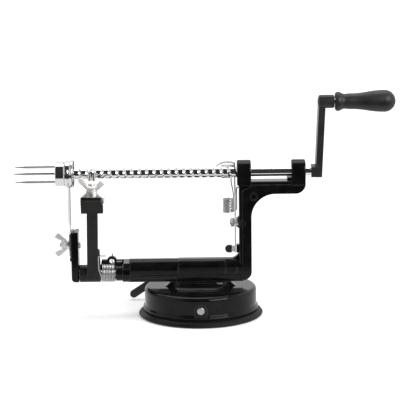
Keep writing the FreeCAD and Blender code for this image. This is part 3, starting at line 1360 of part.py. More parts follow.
def slicer_blade():
    """Strip that carries the ring: flat at the clamp, then twisted and sharp on one edge."""
    foot_z = STRIP_BOTTOM
    bend_z = UPRIGHT_TOP - 1.5
    top_z = SHAFT_Z - RING_INNER + 0.5
    foot = Part.makeLoft([
        strip_section(foot_z, STRIP_FOOT_HALF_WIDTH, 0, 0.01),
        strip_section(bend_z, STRIP_FOOT_HALF_WIDTH, 0, 0.01),
    ], True, True)
    twist = Part.makeLoft([
        strip_section(bend_z, STRIP_FOOT_HALF_WIDTH, 0, 0.01),
        strip_section(bend_z + 8.0, STRIP_HALF_WIDTH, STRIP_YAW, 0.9),
    ], True, True)
    blade = Part.makeLoft([
        strip_section(bend_z + 8.0, STRIP_HALF_WIDTH, STRIP_YAW, 0.9),
        strip_section(top_z, STRIP_HALF_WIDTH, STRIP_YAW, 0.9),
    ], True, True)
    strip = fused(foot, [twist, blade])
    ring = turned_x(ring_outer_steps(), 0, SHAFT_Z)
    bolt = rod_x(SMALL_BOLT_RADIUS, UPRIGHT_LEFT - 5, UPRIGHT_LEFT + 1, 0, SLICER_BOLT_Z)
    return strip.cut([ring, bolt])


def slicer_bolt():
    """Clamp bolt through the upright, with a low head on the right."""
    left = UPRIGHT_LEFT - 9.6
    shank = rod_x(SMALL_BOLT_RADIUS, left, UPRIGHT_RIGHT + 0.5, 0, SLICER_BOLT_Z)
    head = rod_x(SMALL_BOLT_RADIUS + 0.9, UPRIGHT_RIGHT, UPRIGHT_RIGHT + 1.6, 0, SLICER_BOLT_Z)
    head = rounded(head, 0.7, lambda edge: edge.BoundBox.XMin > UPRIGHT_RIGHT + 1.5)
    return fused(shank, [head])


def slicer_washers():
    """Flat washer and spring washer under the wing nut."""
    face = UPRIGHT_LEFT - STRIP_THICKNESS
    flat = rod_x(4.4, face - 1.0, face, 0, SLICER_BOLT_Z)
    spring = rod_x(3.7, face - 2.2, face - 1.0, 0, SLICER_BOLT_Z)
    split = box(face - 2.3, face - 0.95, -0.4, 0.4, SLICER_BOLT_Z, SLICER_BOLT_Z + 5)
    hole = rod_x(SMALL_BOLT_RADIUS, face - 3, face + 1, 0, SLICER_BOLT_Z)
    return Part.makeCompound([flat.cut(hole), spring.cut([hole, split])])


def slicer_wing_nut():
    """Wing nut that clamps the slicing strip."""
    nut = wing_nut(4.2, 5.0, SMALL_BOLT_RADIUS + RUNNING_FIT, 9.6, 9.8, 1.6)
    nut.rotate(V(0, 0, 0), ALONG_Y, -90)
    nut.translate(V(UPRIGHT_LEFT - STRIP_THICKNESS - 2.25, 0, SLICER_BOLT_Z))
    return nut


def leaned(shape):
    """Crank piece modelled upright, turned to where the crank stands."""
    placed = shape.copy()
    placed.rotate(V(0, 0, SHAFT_Z), ALONG_X, CRANK_LEAN)
    return placed


def crank_arm():
    """Crank: squared hub, drafted arm that leans outward, round socket at the top."""
    deep = CRANK_HUB_DEPTH / 2
    foot_z = SHAFT_Z - CRANK_HUB_BELOW
    hub = box(CRANK_HUB_LEFT, CRANK_HUB_RIGHT, -deep, deep, foot_z, SHAFT_Z + CRANK_HUB_ABOVE)
    hub = rounded(hub, CRANK_HUB_ROUND, lambda edge: runs_along(edge, ALONG_X))
    rake = math.tan(math.radians(CRANK_RAKE))
    top_z = SOCKET_Z + 1.0
    right = CRANK_HUB_RIGHT
    left = right - CRANK_ARM_WIDTH
    deep = CRANK_ARM_DEPTH / 2
    draft = CRANK_ARM_DEPTH * math.tan(math.radians(CRANK_ARM_DRAFT))
    arm = prism([
        V(left, -deep, foot_z),
        V(right, -deep, foot_z),
        V(right + draft, deep, foot_z),
        V(left - draft, deep, foot_z),
    ], V(rake * (top_z - foot_z), 0, top_z - foot_z))
    arm = rounded(arm, CRANK_ARM_EDGE, lambda edge: edge.Length > CRANK_THROW)
    dome = 1.2
    socket = turned_x([
        V(SOCKET_LEFT - dome, 0, 0),
        (V(SOCKET_LEFT - dome * 0.75, 0, SOCKET_RADIUS * 0.5),
         V(SOCKET_LEFT, 0, SOCKET_RADIUS - 0.4)),
        V(SOCKET_LEFT + 0.4, 0, SOCKET_RADIUS),
        V(SOCKET_RIGHT - 0.6, 0, SOCKET_RADIUS),
        V(SOCKET_RIGHT, 0, SOCKET_RADIUS - 0.6),
        V(SOCKET_RIGHT, 0, 0),
    ], 0, SOCKET_Z)
    body = fused(hub, [arm, socket])
    shaft_hole = rod_x(SPIGOT_RADIUS + RUNNING_FIT, CRANK_HUB_LEFT - 1, SHAFT_RIGHT + AIR_GAP,
                       0, SHAFT_Z)
    spindle_hole = rod_x(SPINDLE_RADIUS, SOCKET_LEFT + 3, SOCKET_RIGHT + 1, 0, SOCKET_Z)
    pin_hole = crank_pin_rod()
    return leaned(body.cut([shaft_hole, spindle_hole, pin_hole]))


def crank_pin_rod():
    """Grub screw beside the shaft, before the crank is leaned."""
    circle = CORE_RADIUS + CRANK_PIN_RADIUS + RUNNING_FIT * 4
    angle = math.radians(CRANK_PIN_ANGLE)
    return rod_x(CRANK_PIN_RADIUS, CRANK_HUB_LEFT - CRANK_PIN_PROUD, CRANK_HUB_LEFT + 3.0,
                 circle * math.cos(angle), SHAFT_Z + circle * math.sin(angle))


def crank_pin():
    """Locking pin whose end stands out of the left face of the crank hub."""
    return leaned(crank_pin_rod())


def knob_spindle():
    """Steel spindle in the socket on which the handle turns."""
    rod = rod_x(SPINDLE_RADIUS, SOCKET_LEFT + 3, KNOB_LEFT + KNOB_LENGTH * 0.7, 0, SOCKET_Z)
    return leaned(rod)


def knob():
    """Turned handle: collar, waist and full rounded end."""
    x = KNOB_LEFT
    length = KNOB_LENGTH
    full = KNOB_MAX_RADIUS
    level = V(1, 0, 0)
    shoulder = V(x + length * 0.11, 0, KNOB_COLLAR_RADIUS - 1.1)
    waist = V(x + length * 0.25, 0, KNOB_NECK_RADIUS)
    widest = V(x + length - full, 0, full)
    face_radius = KNOB_COLLAR_RADIUS - 1.4
    bead = V(x + 2.4, 0, KNOB_COLLAR_RADIUS)
    edges = [
        Part.LineSegment(V(x, 0, 0), V(x, 0, face_radius)).toShape(),
        Part.Arc(V(x, 0, face_radius), V(x + 0.8, 0, KNOB_COLLAR_RADIUS - 0.45), bead).toShape(),
        Part.Arc(bead, V(x + 3.8, 0, KNOB_COLLAR_RADIUS - 0.35), shoulder).toShape(),
    ]
    edges += biarc(shoulder, V(1, 0, -0.55).normalize(), waist, level)
    edges += biarc(waist, level, widest, level)
    edges += [
        Part.Arc(widest, widest + V(full * math.sqrt(0.5), 0, full * (math.sqrt(0.5) - 1)),
                 V(x + length, 0, 0)).toShape(),
        Part.LineSegment(V(x + length, 0, 0), V(x, 0, 0)).toShape(),
    ]
    body = Part.Face(Part.Wire(edges)).revolve(V(0, 0, 0), ALONG_X, 360)
    body.translate(V(0, 0, SOCKET_Z))
    bore = rod_x(SPINDLE_RADIUS + RUNNING_FIT, x - 1, x + length * 0.7 + AIR_GAP, 0, SOCKET_Z)
    return leaned(body.cut(bore))


PIECES = {
    "suction_cup": suction_cup,
    "cup_stud": cup_stud,
    "base_housing": base_housing,
    "frame_screws": frame_screws,
    "lever_axle": lever_axle,
    "lift_cam": lift_cam,
    "axle_clip": axle_clip,
    "suction_lever": suction_lever,
    "frame_casting": frame_casting,
    "release_bolt": release_bolt,
    "release_nut": release_nut,
    "release_washers": release_washers,
    "release_lever": release_lever,
    "half_nut": half_nut,
    "release_grip": release_grip,
    "release_spring": release_spring,
    "peel_arm_pin": peel_arm_pin,
    "peel_arm": peel_arm,
    "peel_arm_spring": peel_arm_spring,
    "blade_holder": blade_holder,
    "peeling_blade": peeling_blade,
    "blade_bolt": blade_bolt,
    "blade_washer": blade_washer,
    "blade_wing_nut": blade_wing_nut,
    "feed_shaft": feed_shaft,
    "feed_thread": feed_thread,
    "fork_hub": fork_hub,
    "fork_prongs": fork_prongs,
    "corer_ring": corer_ring,
    "slicer_blade": slicer_blade,
    "slicer_bolt": slicer_bolt,
    "slicer_washers": slicer_washers,
    "slicer_wing_nut": slicer_wing_nut,
    "crank_arm": crank_arm,
    "crank_pin": crank_pin,
    "knob_spindle": knob_spindle,
    "knob": knob,
}

os.makedirs("parts", exist_ok=True)
for node, make in PIECES.items():
    make().exportStep("parts/" + node + ".step")
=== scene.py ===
"""Looks of a hand cranked apple peeler on a round suction base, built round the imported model."""

import logging
import math
from dataclasses import dataclass
from enum import Enum
from typing import Callable, Iterable, Sequence

import bmesh
import bpy
from mathutils import Matrix, Vector
from mathutils.geometry import interpolate_bezier


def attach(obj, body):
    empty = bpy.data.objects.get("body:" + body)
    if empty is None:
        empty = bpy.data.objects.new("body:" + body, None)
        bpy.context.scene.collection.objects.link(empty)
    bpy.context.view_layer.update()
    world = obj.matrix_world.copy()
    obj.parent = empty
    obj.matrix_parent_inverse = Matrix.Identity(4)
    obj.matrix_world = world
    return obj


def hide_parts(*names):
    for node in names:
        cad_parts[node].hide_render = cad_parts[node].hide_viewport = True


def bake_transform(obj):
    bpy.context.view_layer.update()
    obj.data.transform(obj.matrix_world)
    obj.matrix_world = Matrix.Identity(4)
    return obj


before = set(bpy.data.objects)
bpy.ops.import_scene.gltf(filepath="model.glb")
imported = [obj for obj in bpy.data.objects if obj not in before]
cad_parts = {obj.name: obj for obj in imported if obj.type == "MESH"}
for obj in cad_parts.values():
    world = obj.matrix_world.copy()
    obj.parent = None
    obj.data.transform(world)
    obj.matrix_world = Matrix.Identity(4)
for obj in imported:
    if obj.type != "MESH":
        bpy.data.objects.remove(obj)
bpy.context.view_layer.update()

LOG = logging.getLogger("peeler")

MM = 0.001
FULL_TURN = 2 * math.pi
QUARTER_TURN = math.radians(90)
ALONG_X = Vector((1.0, 0.0, 0.0))
ALONG_Y = Vector((0.0, 1.0, 0.0))
ALONG_Z = Vector((0.0, 0.0, 1.0))
HOME = Matrix.Identity(4)
WHITE = (1.0, 1.0, 1.0)
WELD_DISTANCE = 0.000002
SLIVER_LENGTH = 0.0000005

# Sockets of the Mix node that carry colours.
MIX_FIRST_COLOUR, MIX_SECOND_COLOUR, MIX_COLOUR = 6, 7, 2

# The part of a value's range over which an effect sets in.
DRIFTING = (0.35, 0.65)
FACING_UP = (0.25, 0.95)
IN_DUST_PATCH = (0.42, 0.72)
ON_DUST_SPECK = (0.52, 0.66)
IN_SCRATCH = (0.56, 0.72)
# ON_EDGE, and the patch range and levels below it, shape the painted edge highlight.
ON_EDGE = (0.004, 0.06)
IN_SHEEN_PATCH = (0.35, 0.6)
IN_HAZE = (0.4, 0.7)

# How strong an effect is where it is weak and where it is full.
DUST_LEVELS = (0.15, 1.0)
SHEEN_LEVELS = (0.35, 1.0)
DUST_BETWEEN_SPECKS = 0.25
GRAIN_SHARE, CELL_SHARE = 0.7, 0.3
CELL_SCALE = 1.7
BEVEL_SAMPLES = 6

Colour = tuple[float, float, float]
Point = tuple[float, float, float]
Span = tuple[float, float]
Faces = list[tuple[int, ...]]
Form = tuple[list[Vector], Faces]
Bend = tuple[Vector, Vector]
Socket = bpy.types.NodeSocket
Sockets = bpy.types.bpy_prop_collection
Outputs = dict[str, Socket]


class Grain(Enum):
    """Direction in which a ground or drawn metal surface is lined."""

    ALONG_X = (40.0, 1800.0, 1800.0)
    ALONG_Y = (1800.0, 40.0, 1800.0)
    ALONG_Z = (1800.0, 1800.0, 40.0)
    TURNED = (2600.0, 90.0, 90.0)


class Noise(Enum):
    """Noise textures, by scale, detail and roughness."""

    CAST_WAVES = (1.0, 2.0, 0.5)
    PAINT_PEEL = (1.0, 3.0, 0.55)
    DUST_PATCHES = (45.0, 4.0, 0.6)
    DUST_SPECKS = (1500.0, 2.0, 0.7)
    HAIRLINES = (1.0, 5.0, 0.65)
    SHEEN_PATCHES = (160.0, 4.0, 0.65)
    FINE_GRAIN = (1.0, 3.0, 0.6)
    SLOW_DRIFT = (60.0, 3.0, 0.5)


class NodeBench:
    """A node tree under construction, with short calls to place and join nodes."""

    def __init__(self, tree: bpy.types.NodeTree) -> None:
        """Starts work on a tree."""
        self.tree = tree

    @classmethod
    def cleared(cls, owner: bpy.types.Material | bpy.types.World) -> "NodeBench":
        """Starts work on the emptied tree of a material or world.

        Args:
            owner: The material or world.

        Returns:
            The bench.
        """
        owner.use_nodes = True
        owner.node_tree.nodes.clear()
        return cls(owner.node_tree)

    def feed(self, target: Socket, value: object) -> None:
        """Links an input to a socket, or sets it.

        Args:
            target: The input.
            value: A socket, a number or a colour.
        """
        if isinstance(value, Socket):
            self.tree.links.new(value, target)
        else:
            target.default_value = (*value, 1.0) if target.type == "RGBA" else value

    def place(self, kind: str, *values: object, **settings: object) -> bpy.types.Node:
        """Adds one node.

        Args:
            kind: The node's type name without its ShaderNode prefix, or in full after a !.
            values: What its first inputs get, in order.
            settings: Attributes of the node, or inputs by their names with underscores for
                spaces.

        Returns:
            The new node.
        """
        node = self.tree.nodes.new("ShaderNode" + kind if kind[0] != "!" else kind[1:])
        for key, value in settings.items():
            if hasattr(node, key):
                setattr(node, key, value)
            else:
                self.feed(node.inputs[key.replace("_", " ")], value)
        for target, value in zip(node.inputs, values):
            self.feed(target, value)
        return node

    def sums(self, operation: str, first: object, second: object) -> Socket:
        """Reckons with two sockets or numbers, by a Math node's operation."""
        return self.place("Math", first, second, operation=operation).outputs[0]

    def spread(self, value: Socket, source: Span, result: Span = (0.0, 1.0)) -> Socket:
        """Maps a value from one range to another, clamped.

        Args:
            value: The socket to map.
            source: Start and end of the source range.
            result: Results at its start and end.

        Returns:
            The mapped output.
        """
        node = self.place("MapRange", Value=value, From_Min=source[0], From_Max=source[1],
                          To_Min=result[0], To_Max=result[1])
        return node.outputs["Result"]

    def tint(self, share: Socket, first: object, second: object) -> Socket:
        """Mixes two colours.

        Args:
            share: Socket with the share of the second colour.
            first: Colour or socket at share 0.
            second: Colour or socket at share 1.

        Returns:
            The mixed colour.
        """
        node = self.place("Mix", share, data_type="RGBA")
        self.feed(node.inputs[MIX_FIRST_COLOUR], first)
        self.feed(node.inputs[MIX_SECOND_COLOUR], second)
        return node.outputs[MIX_COLOUR]

    def either(self, share: Socket, first: Socket, second: Socket) -> Socket:
        """Gives the first shader at share 0 and the second at share 1."""
        return self.place("MixShader", share, first, second).outputs[0]

    def here(self, scale: Socket | None = None) -> Socket:
        """Gives the surface's own coordinates in metres.

        Args:
            scale: Socket that multiplies them, or None.

        Returns:
            The vector output.
        """
        spot = self.place("TexCoord").outputs["Object"]
        if scale is None:
            return spot
        return self.place("VectorMath", spot, operation="SCALE", Scale=scale).outputs[0]

    def noise(self, kind: Noise, points: Socket) -> Socket:
        """Adds a noise texture.

        Args:
            kind: The texture.
            points: The coordinates.

        Returns:
            The noise, 0 to 1.
        """
        scale, detail, roughness = kind.value
        node = self.place("TexNoise", points, Scale=scale, Detail=detail, Roughness=roughness)
        return node.outputs["Fac"]


@dataclass(frozen=True)
class Effect:
    """A surface effect kept as one shader node group and shared by the finishes."""

    name: str
    inputs: tuple[tuple[str, float], ...]
    draw: Callable[[NodeBench, Sockets], Outputs]

    def group(self) -> bpy.types.NodeTree:
        """Makes the group on first use.

        Returns:
            The node group.
        """
        found = bpy.data.node_groups.get(self.name)
        if found:
            return found
        tree = bpy.data.node_groups.new(self.name, "ShaderNodeTree")
        for label, value in self.inputs:
            socket = tree.interface.new_socket(label, in_out="INPUT",
                                               socket_type="NodeSocketFloat")
            socket.default_value = value
        bench = NodeBench(tree)
        drawn = self.draw(bench, bench.place("!NodeGroupInput").outputs)
        for label in drawn:
            tree.interface.new_socket(label, in_out="OUTPUT", socket_type="NodeSocketFloat")
        leave = bench.place("!NodeGroupOutput")
        for label, socket in drawn.items():
            bench.feed(leave.inputs[label], socket)
        return tree

    def put(self, bench: NodeBench, **values: float) -> Sockets:
        """Places the effect in a material, with its own values, and gives its outputs."""
        return bench.place("Group", node_tree=self.group(), **values).outputs


def draw_cast_skin(bench: NodeBench, given: Sockets) -> Outputs:
    """Soft waves of a casting under paint, and the fine peel of the paint itself.

    Args:
        bench: The group's bench.
        given: The group's inputs.

    Returns:
        The relief, and the waves alone as a slow drift.
    """
    waves = bench.noise(Noise.CAST_WAVES, bench.here(given["Wave Scale"]))
    peel = bench.noise(Noise.PAINT_PEEL, bench.here(given["Peel Scale"]))
    small = bench.sums("MULTIPLY", peel, given["Peel Share"])
    return {"Height": bench.sums("ADD", waves, small), "Drift": waves}


def draw_dust(bench: NodeBench, given: Sockets) -> Outputs:
    """Thin dust that lies on faces turned upwards, in patches and specks.

    Args:
        bench: The group's bench.
        given: The group's inputs.

    Returns:
        Where it lies.
    """
    facing = bench.place("SeparateXYZ", bench.place("NewGeometry").outputs["Normal"])
    lying = bench.spread(facing.outputs["Z"], FACING_UP)
    patch = bench.spread(bench.noise(Noise.DUST_PATCHES, bench.here()), IN_DUST_PATCH, DUST_LEVELS)
    speck = bench.spread(bench.noise(Noise.DUST_SPECKS, bench.here()), ON_DUST_SPECK)
    both = bench.sums("MULTIPLY", patch, bench.sums("ADD", speck, DUST_BETWEEN_SPECKS))
    laid = bench.sums("MULTIPLY", both, lying)
    return {"Mask": bench.sums("MULTIPLY", laid, given["Amount"])}


def draw_scratches(bench: NodeBench, given: Sockets) -> Outputs:
    """Hairline scratches that run one way, sparse and of uneven depth.

    Args:
        bench: The group's bench.
        given: The group's inputs.

    Returns:
        The relief, and where a scratch is.
    """
    stretch = bench.place("CombineXYZ", *(given["Scale " + axis] for axis in "XYZ"))
    points = bench.place("VectorMath", bench.here(), stretch.outputs[0], operation="MULTIPLY")
    lines = bench.noise(Noise.HAIRLINES, points.outputs[0])
    return {"Height": lines, "Mask": bench.spread(lines, IN_SCRATCH)}


def draw_painted_edge_sheen(bench: NodeBench, given: Sockets) -> Outputs:
    """Painted highlight: thin lighter lines along the outer and inner edges of a piece, in uneven
    patches.

    Args:
        bench: The group's bench.
        given: The group's inputs.

    Returns:
        Where the painted edge highlight lies.
    """
    rounded = bench.place("Bevel", given["Radius"], samples=BEVEL_SAMPLES).outputs["Normal"]
    flat = bench.place("NewGeometry").outputs["Normal"]
    bend = bench.place("VectorMath", rounded, flat, operation="DOT_PRODUCT").outputs["Value"]
    edge = bench.spread(bench.sums("SUBTRACT", 1.0, bend), ON_EDGE)
    uneven = bench.spread(bench.noise(Noise.SHEEN_PATCHES, bench.here()), IN_SHEEN_PATCH, SHEEN_LEVELS)
    return {"Mask": bench.sums("MULTIPLY", edge, uneven)}


def draw_speckle(bench: NodeBench, given: Sockets) -> Outputs:
    """Even fine grain, as on moulded plastic, rubber or blasted metal.

    Args:
        bench: The group's bench.
        given: The group's inputs.

    Returns:
        The relief, and a slow drift.
    """
    points = bench.here(given["Scale"])
    cells = bench.place("TexVoronoi", points, Scale=CELL_SCALE).outputs["Distance"]
    grain = bench.noise(Noise.FINE_GRAIN, points)
    mixed = bench.sums("ADD", bench.sums("MULTIPLY", grain, GRAIN_SHARE),
                       bench.sums("MULTIPLY", cells, CELL_SHARE))
    return {"Height": mixed, "Drift": bench.noise(Noise.SLOW_DRIFT, bench.here())}


CAST_SKIN = Effect("cast skin", (("Wave Scale", 110.0), ("Peel Scale", 700.0),
                                 ("Peel Share", 0.02)), draw_cast_skin)
DUST = Effect("lying dust", (("Amount", 0.3),), draw_dust)
SCRATCHES = Effect("hairline scratches", (("Scale X", 40.0), ("Scale Y", 1800.0),
                                          ("Scale Z", 1800.0)), draw_scratches)
# Painted highlight along the edges of a piece, in uneven patches.
PAINTED_EDGE_SHEEN = Effect("painted edge sheen", (("Radius", 0.0004),), draw_painted_edge_sheen)
SPECKLE = Effect("fine speckle", (("Scale", 1500.0),), draw_speckle)


@dataclass(frozen=True)
class Finish:
    """What every finish has: a name, the record's slot and a way to make its material."""

    name: str
    slot: str

    def material(self) -> bpy.types.Material:
        """Makes the material on first use.

        Returns:
            The material.
        """
        found = bpy.data.materials.get(self.name)
        if found:
            return found
        made = bpy.data.materials.new(self.name)
        bench = NodeBench.cleared(made)
        shader = bench.place("BsdfPrincipled")
        bench.place("OutputMaterial", shader.outputs["BSDF"])
        self.dress(bench, shader.inputs)
        return made

    def dress(self, bench: NodeBench, shader: Sockets) -> None:
        """Sets the Principled shader's inputs. Each kind of finish has its own."""
        raise NotImplementedError

    @staticmethod
    def relief(bench: NodeBench, shader: Sockets, height: Socket, strength: float,
               depth: float) -> None:
        """Feeds a height to the shader's normal.

        Args:
            bench: The material's bench.
            shader: Inputs of the Principled shader.
            height: Socket with the height, 0 to 1.
            strength: Strength of the Bump node.
            depth: Real depth of the relief, in metres.
        """
        bump = bench.place("Bump", Strength=strength, Distance=depth, Height=height)
        bench.feed(shader["Normal"], bump.outputs["Normal"])


@dataclass(frozen=True)
class Coating(Finish):
    """Paint, plastic or rubber of two close tones, with relief and some dust on top."""

    dark: Colour = (0.008, 0.008, 0.0085)
    light: Colour = (0.014, 0.014, 0.0145)
    dust: Colour = (0.14, 0.14, 0.14)
    roughness: float = 0.42
    spread: float = 0.1
    gloss: float = 0.5
    strength: float = 0.5
    depth: float = 0.00005
    dustiness: float = 0.15
    dust_roughness: float = 0.2

    def tone(self, bench: NodeBench, skin: Sockets) -> Socket:
        """Drifts slowly from the dark tone to the light one."""
        return bench.tint(bench.spread(skin["Drift"], DRIFTING), self.dark, self.light)

    def lay(self, bench: NodeBench, shader: Sockets, skin: Sockets, tone: Socket) -> None:
        """Lays the coat with its dust, gloss and relief.

        Args:
            bench: The material's bench.
            shader: Inputs of the Principled shader.
            skin: Outputs of the effect that gives the coat its relief and drift.
            tone: Its colour under the dust.
        """
        dust = DUST.put(bench, Amount=self.dustiness)["Mask"]
        bench.feed(shader["Base Color"], bench.tint(dust, tone, self.dust))
        rough = bench.spread(skin["Drift"], DRIFTING,
                             (self.roughness, self.roughness + self.spread))
        dusty = bench.sums("MULTIPLY", dust, self.dust_roughness)
        bench.feed(shader["Roughness"], bench.sums("ADD", rough, dusty))
        bench.feed(shader["Specular IOR Level"], self.gloss)
        self.relief(bench, shader, skin["Height"], self.strength, self.depth)


@dataclass(frozen=True)
class Enamel(Coating):
    """Glossy black paint baked on cast metal, with a painted highlight along its edges."""

    dark: Colour = (0.0028, 0.0028, 0.0029)
    light: Colour = (0.0062, 0.006, 0.0058)
    dust: Colour = (0.16, 0.155, 0.15)
    roughness: float = 0.055
    spread: float = 0.05
    gloss: float = 0.2
    strength: float = 0.35
    depth: float = 0.00008
    dustiness: float = 0.09
    dust_roughness: float = 0.05
    # Colour of the painted highlight along the edges.
    worn: Colour = (0.05, 0.049, 0.047)
    edge_width: float = 0.0008
    wave_scale: float = 110.0
    peel_scale: float = 700.0
    peel_share: float = 0.02

    def dress(self, bench: NodeBench, shader: Sockets) -> None:
        """Deep black with a gloss, cast waves, paint peel and a painted highlight along the edges.

        Args:
            bench: The material's bench.
            shader: Inputs of the Principled shader.
        """
        skin = CAST_SKIN.put(bench, Wave_Scale=self.wave_scale, Peel_Scale=self.peel_scale,
                             Peel_Share=self.peel_share)
        # The edges are tinted lighter here: a painted highlight.
        edge = PAINTED_EDGE_SHEEN.put(bench, Radius=self.edge_width)["Mask"]
        self.lay(bench, shader, skin, bench.tint(edge, self.tone(bench, skin), self.worn))


@dataclass(frozen=True)
class Moulding(Coating):
    """Moulded plastic or rubber with an even grain."""

    grain_scale: float = 1600.0

    def dress(self, bench: NodeBench, shader: Sockets) -> None:
        """Lays the even grain under the coat's slow changes of tone."""
        grain = SPECKLE.put(bench, Scale=self.grain_scale)
        self.lay(bench, shader, grain, self.tone(bench, grain))


@dataclass(frozen=True)
class Metal(Finish):
    """Bare or plated metal with lines left by drawing, grinding or turning."""

    bright: Colour = (0.84, 0.84, 0.85)
    dull: Colour = (0.70, 0.70, 0.70)
    roughness: float = 0.09
    spread: float = 0.08
    grain: Grain = Grain.ALONG_X
    line_depth: float = 0.00002
    line_strength: float = 0.25
    line_share: float = 0.7
    cloud_share: float = 0.6
    haze_scale: float = 500.0

    def dress(self, bench: NodeBench, shader: Sockets) -> None:
        """Reflecting metal, duller and rougher along its hairlines and in faint patches.

        Args:
            bench: The material's bench.
            shader: Inputs of the Principled shader.
        """
        x, y, z = self.grain.value
        lines = SCRATCHES.put(bench, Scale_X=x, Scale_Y=y, Scale_Z=z)
        haze = SPECKLE.put(bench, Scale=self.haze_scale)
        cloud = bench.spread(haze["Drift"], IN_HAZE, (0.0, self.cloud_share))
        worn = bench.sums("MAXIMUM", cloud, bench.sums("MULTIPLY", lines["Mask"], self.line_share))
        bench.feed(shader["Base Color"], bench.tint(worn, self.bright, self.dull))
        rough = bench.spread(worn, (0.0, 1.0), (self.roughness, self.roughness + self.spread))
        bench.feed(shader["Roughness"], rough)
        bench.feed(shader["Metallic"], 1.0)
        self.relief(bench, shader, lines["Height"], self.line_strength, self.line_depth)


ENAMEL = Enamel("black enamel", "black_paint")
ARM_ENAMEL = Enamel("black enamel on the peeling arm", "black_paint",
                    dark=(0.009, 0.0085, 0.0085), light=(0.014, 0.0135, 0.013), roughness=0.22)
CRANK_ENAMEL = Enamel("black enamel on the crank", "black_paint", dark=(0.019, 0.0185, 0.018),
                      light=(0.027, 0.0265, 0.026), roughness=0.16)
RUBBER = Moulding("base rubber", "rubber", dark=(0.003, 0.003, 0.0031),
                  light=(0.006, 0.006, 0.0061), roughness=0.4, gloss=0.22, spread=0.15,
                  grain_scale=2200.0, depth=0.00004, dustiness=0.12)
HANDLE_PLASTIC = Moulding("handle plastic", "black_plastic")
GRIP_VINYL = Moulding("dipped grip", "black_plastic", roughness=0.3, depth=0.00002)
CHROME = Metal("screw chrome", "polished_chrome")
TURNED_CHROME = Metal("turned chrome", "polished_chrome", grain=Grain.TURNED, roughness=0.08)
STRIP_STEEL = Metal("slicer strip steel", "blade_steel", bright=(0.74, 0.74, 0.75),
                    dull=(0.55, 0.55, 0.55), roughness=0.2, spread=0.15, grain=Grain.ALONG_Y,
                    line_strength=0.4)
HOLDER_STEEL = Metal("blade holder steel", "blade_steel", bright=(0.8, 0.8, 0.8),
                     dull=(0.6, 0.6, 0.6), roughness=0.16, spread=0.12)
NICKEL = Metal("plated fastener", "nickel_hardware", bright=(0.84, 0.83, 0.81),
               dull=(0.66, 0.64, 0.62), roughness=0.42, spread=0.15)
CAST_NICKEL = Metal("cast wing nut", "nickel_hardware", bright=(0.96, 0.95, 0.93),
                    dull=(0.8, 0.78, 0.75), roughness=0.6, spread=0.12, line_depth=0.00004,
                    line_strength=0.3)
LEVER_STEEL = Metal("release lever steel", "nickel_hardware", bright=(0.84, 0.84, 0.84),
                    dull=(0.7, 0.7, 0.69), roughness=0.5, spread=0.12, grain=Grain.ALONG_Z)
SPRING_STEEL = Metal("spring wire", "spring_steel", bright=(0.77, 0.77, 0.76),
                     dull=(0.4, 0.39, 0.38), roughness=0.26, spread=0.12, grain=Grain.ALONG_Y)
PLAIN_STEEL = Metal("machined steel", "plain_steel", bright=(0.55, 0.55, 0.56),
                    dull=(0.4, 0.4, 0.4), roughness=0.28, spread=0.15, grain=Grain.TURNED)


def dress_nodes(finish: Finish, nodes: Iterable[str]) -> None:
    """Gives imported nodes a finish.

    Args:
        finish: The finish.
        nodes: Names of the nodes.
    """
    made = finish.material()
    for name in nodes:
        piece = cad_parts[name]
        for place in piece.material_slots:
            place.material = made
        LOG.info("%s: %s", name, finish.name)


def linked(name: str, data: bpy.types.ID) -> bpy.types.Object:
    """Puts a mesh, lamp or camera into the scene.

    Args:
        name: Name of its object.
        data: The mesh, lamp or camera.

    Returns:
        The object.
    """
    thing = bpy.data.objects.new(name, data)
    bpy.context.scene.collection.objects.link(thing)
    return thing


def form_mesh(name: str, form: Form, weld: bool) -> bpy.types.Mesh:
    """Makes a mesh with its faces turned outwards.

    Args:
        name: Name of the mesh.
        form: Its points, in metres, and faces.
        weld: Whether points that coincide become one and slivers go.

    Returns:
        The mesh.
    """
    points, faces = form
    mesh = bpy.data.meshes.new(name)
    mesh.from_pydata([tuple(point) for point in points], [], faces)
    bench = bmesh.new()
    bench.from_mesh(mesh)
    if weld:
        bmesh.ops.remove_doubles(bench, verts=bench.verts, dist=WELD_DISTANCE)
        bmesh.ops.dissolve_degenerate(bench, edges=bench.edges, dist=SLIVER_LENGTH)
    bmesh.ops.recalc_face_normals(bench, faces=bench.faces)
    bench.to_mesh(mesh)
    bench.free()
    return mesh


def dressed_piece(name: str, mesh: bpy.types.Mesh, finish: Finish, stands_for: str,
                  crease: float) -> bpy.types.Object:
    """Links a mesh as an object, smooths it and gives it its finish.

    Args:
        name: Name of the piece.
        mesh: Its mesh.
        finish: The finish it gets.
        stands_for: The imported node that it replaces.
        crease: Angle in degrees above which an edge stays sharp.

    Returns:
        The object.
    """
    mesh.shade_smooth()
    mesh.set_sharp_from_angle(angle=math.radians(crease))
    mesh.materials.append(finish.material())
    piece = linked(name, mesh)
    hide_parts(stands_for)
    LOG.info("%s: %s, %d faces", name, finish.name, len(mesh.polygons))
    return piece


def made_piece(name: str, form: Form, finish: Finish, stands_for: str, crease: float = 42.0,
               place: Matrix = HOME) -> bpy.types.Object:
    """Makes a dressed piece from points and faces.

    Args:
        name: Name of the piece.
        form: Its points, in metres, and faces.
        finish: The finish it gets.
        stands_for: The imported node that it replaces.
        crease: Angle in degrees above which an edge stays sharp.
        place: Matrix that puts it where it belongs.

    Returns:
        The object.
    """
    points, faces = form
    mesh = form_mesh(name, ([place @ point for point in points], faces), weld=True)
    return dressed_piece(name, mesh, finish, stands_for, crease)


def band(first: Sequence[int], second: Sequence[int]) -> Faces:
    """Joins two closed rows of points by a band of faces.

    Args:
        first: Indices of the points in the first row.
        second: As many of the second row.

    Returns:
        The faces.
    """
    count = len(first)
    return [(first[step], first[(step + 1) % count], second[(step + 1) % count], second[step])
            for step in range(count)]


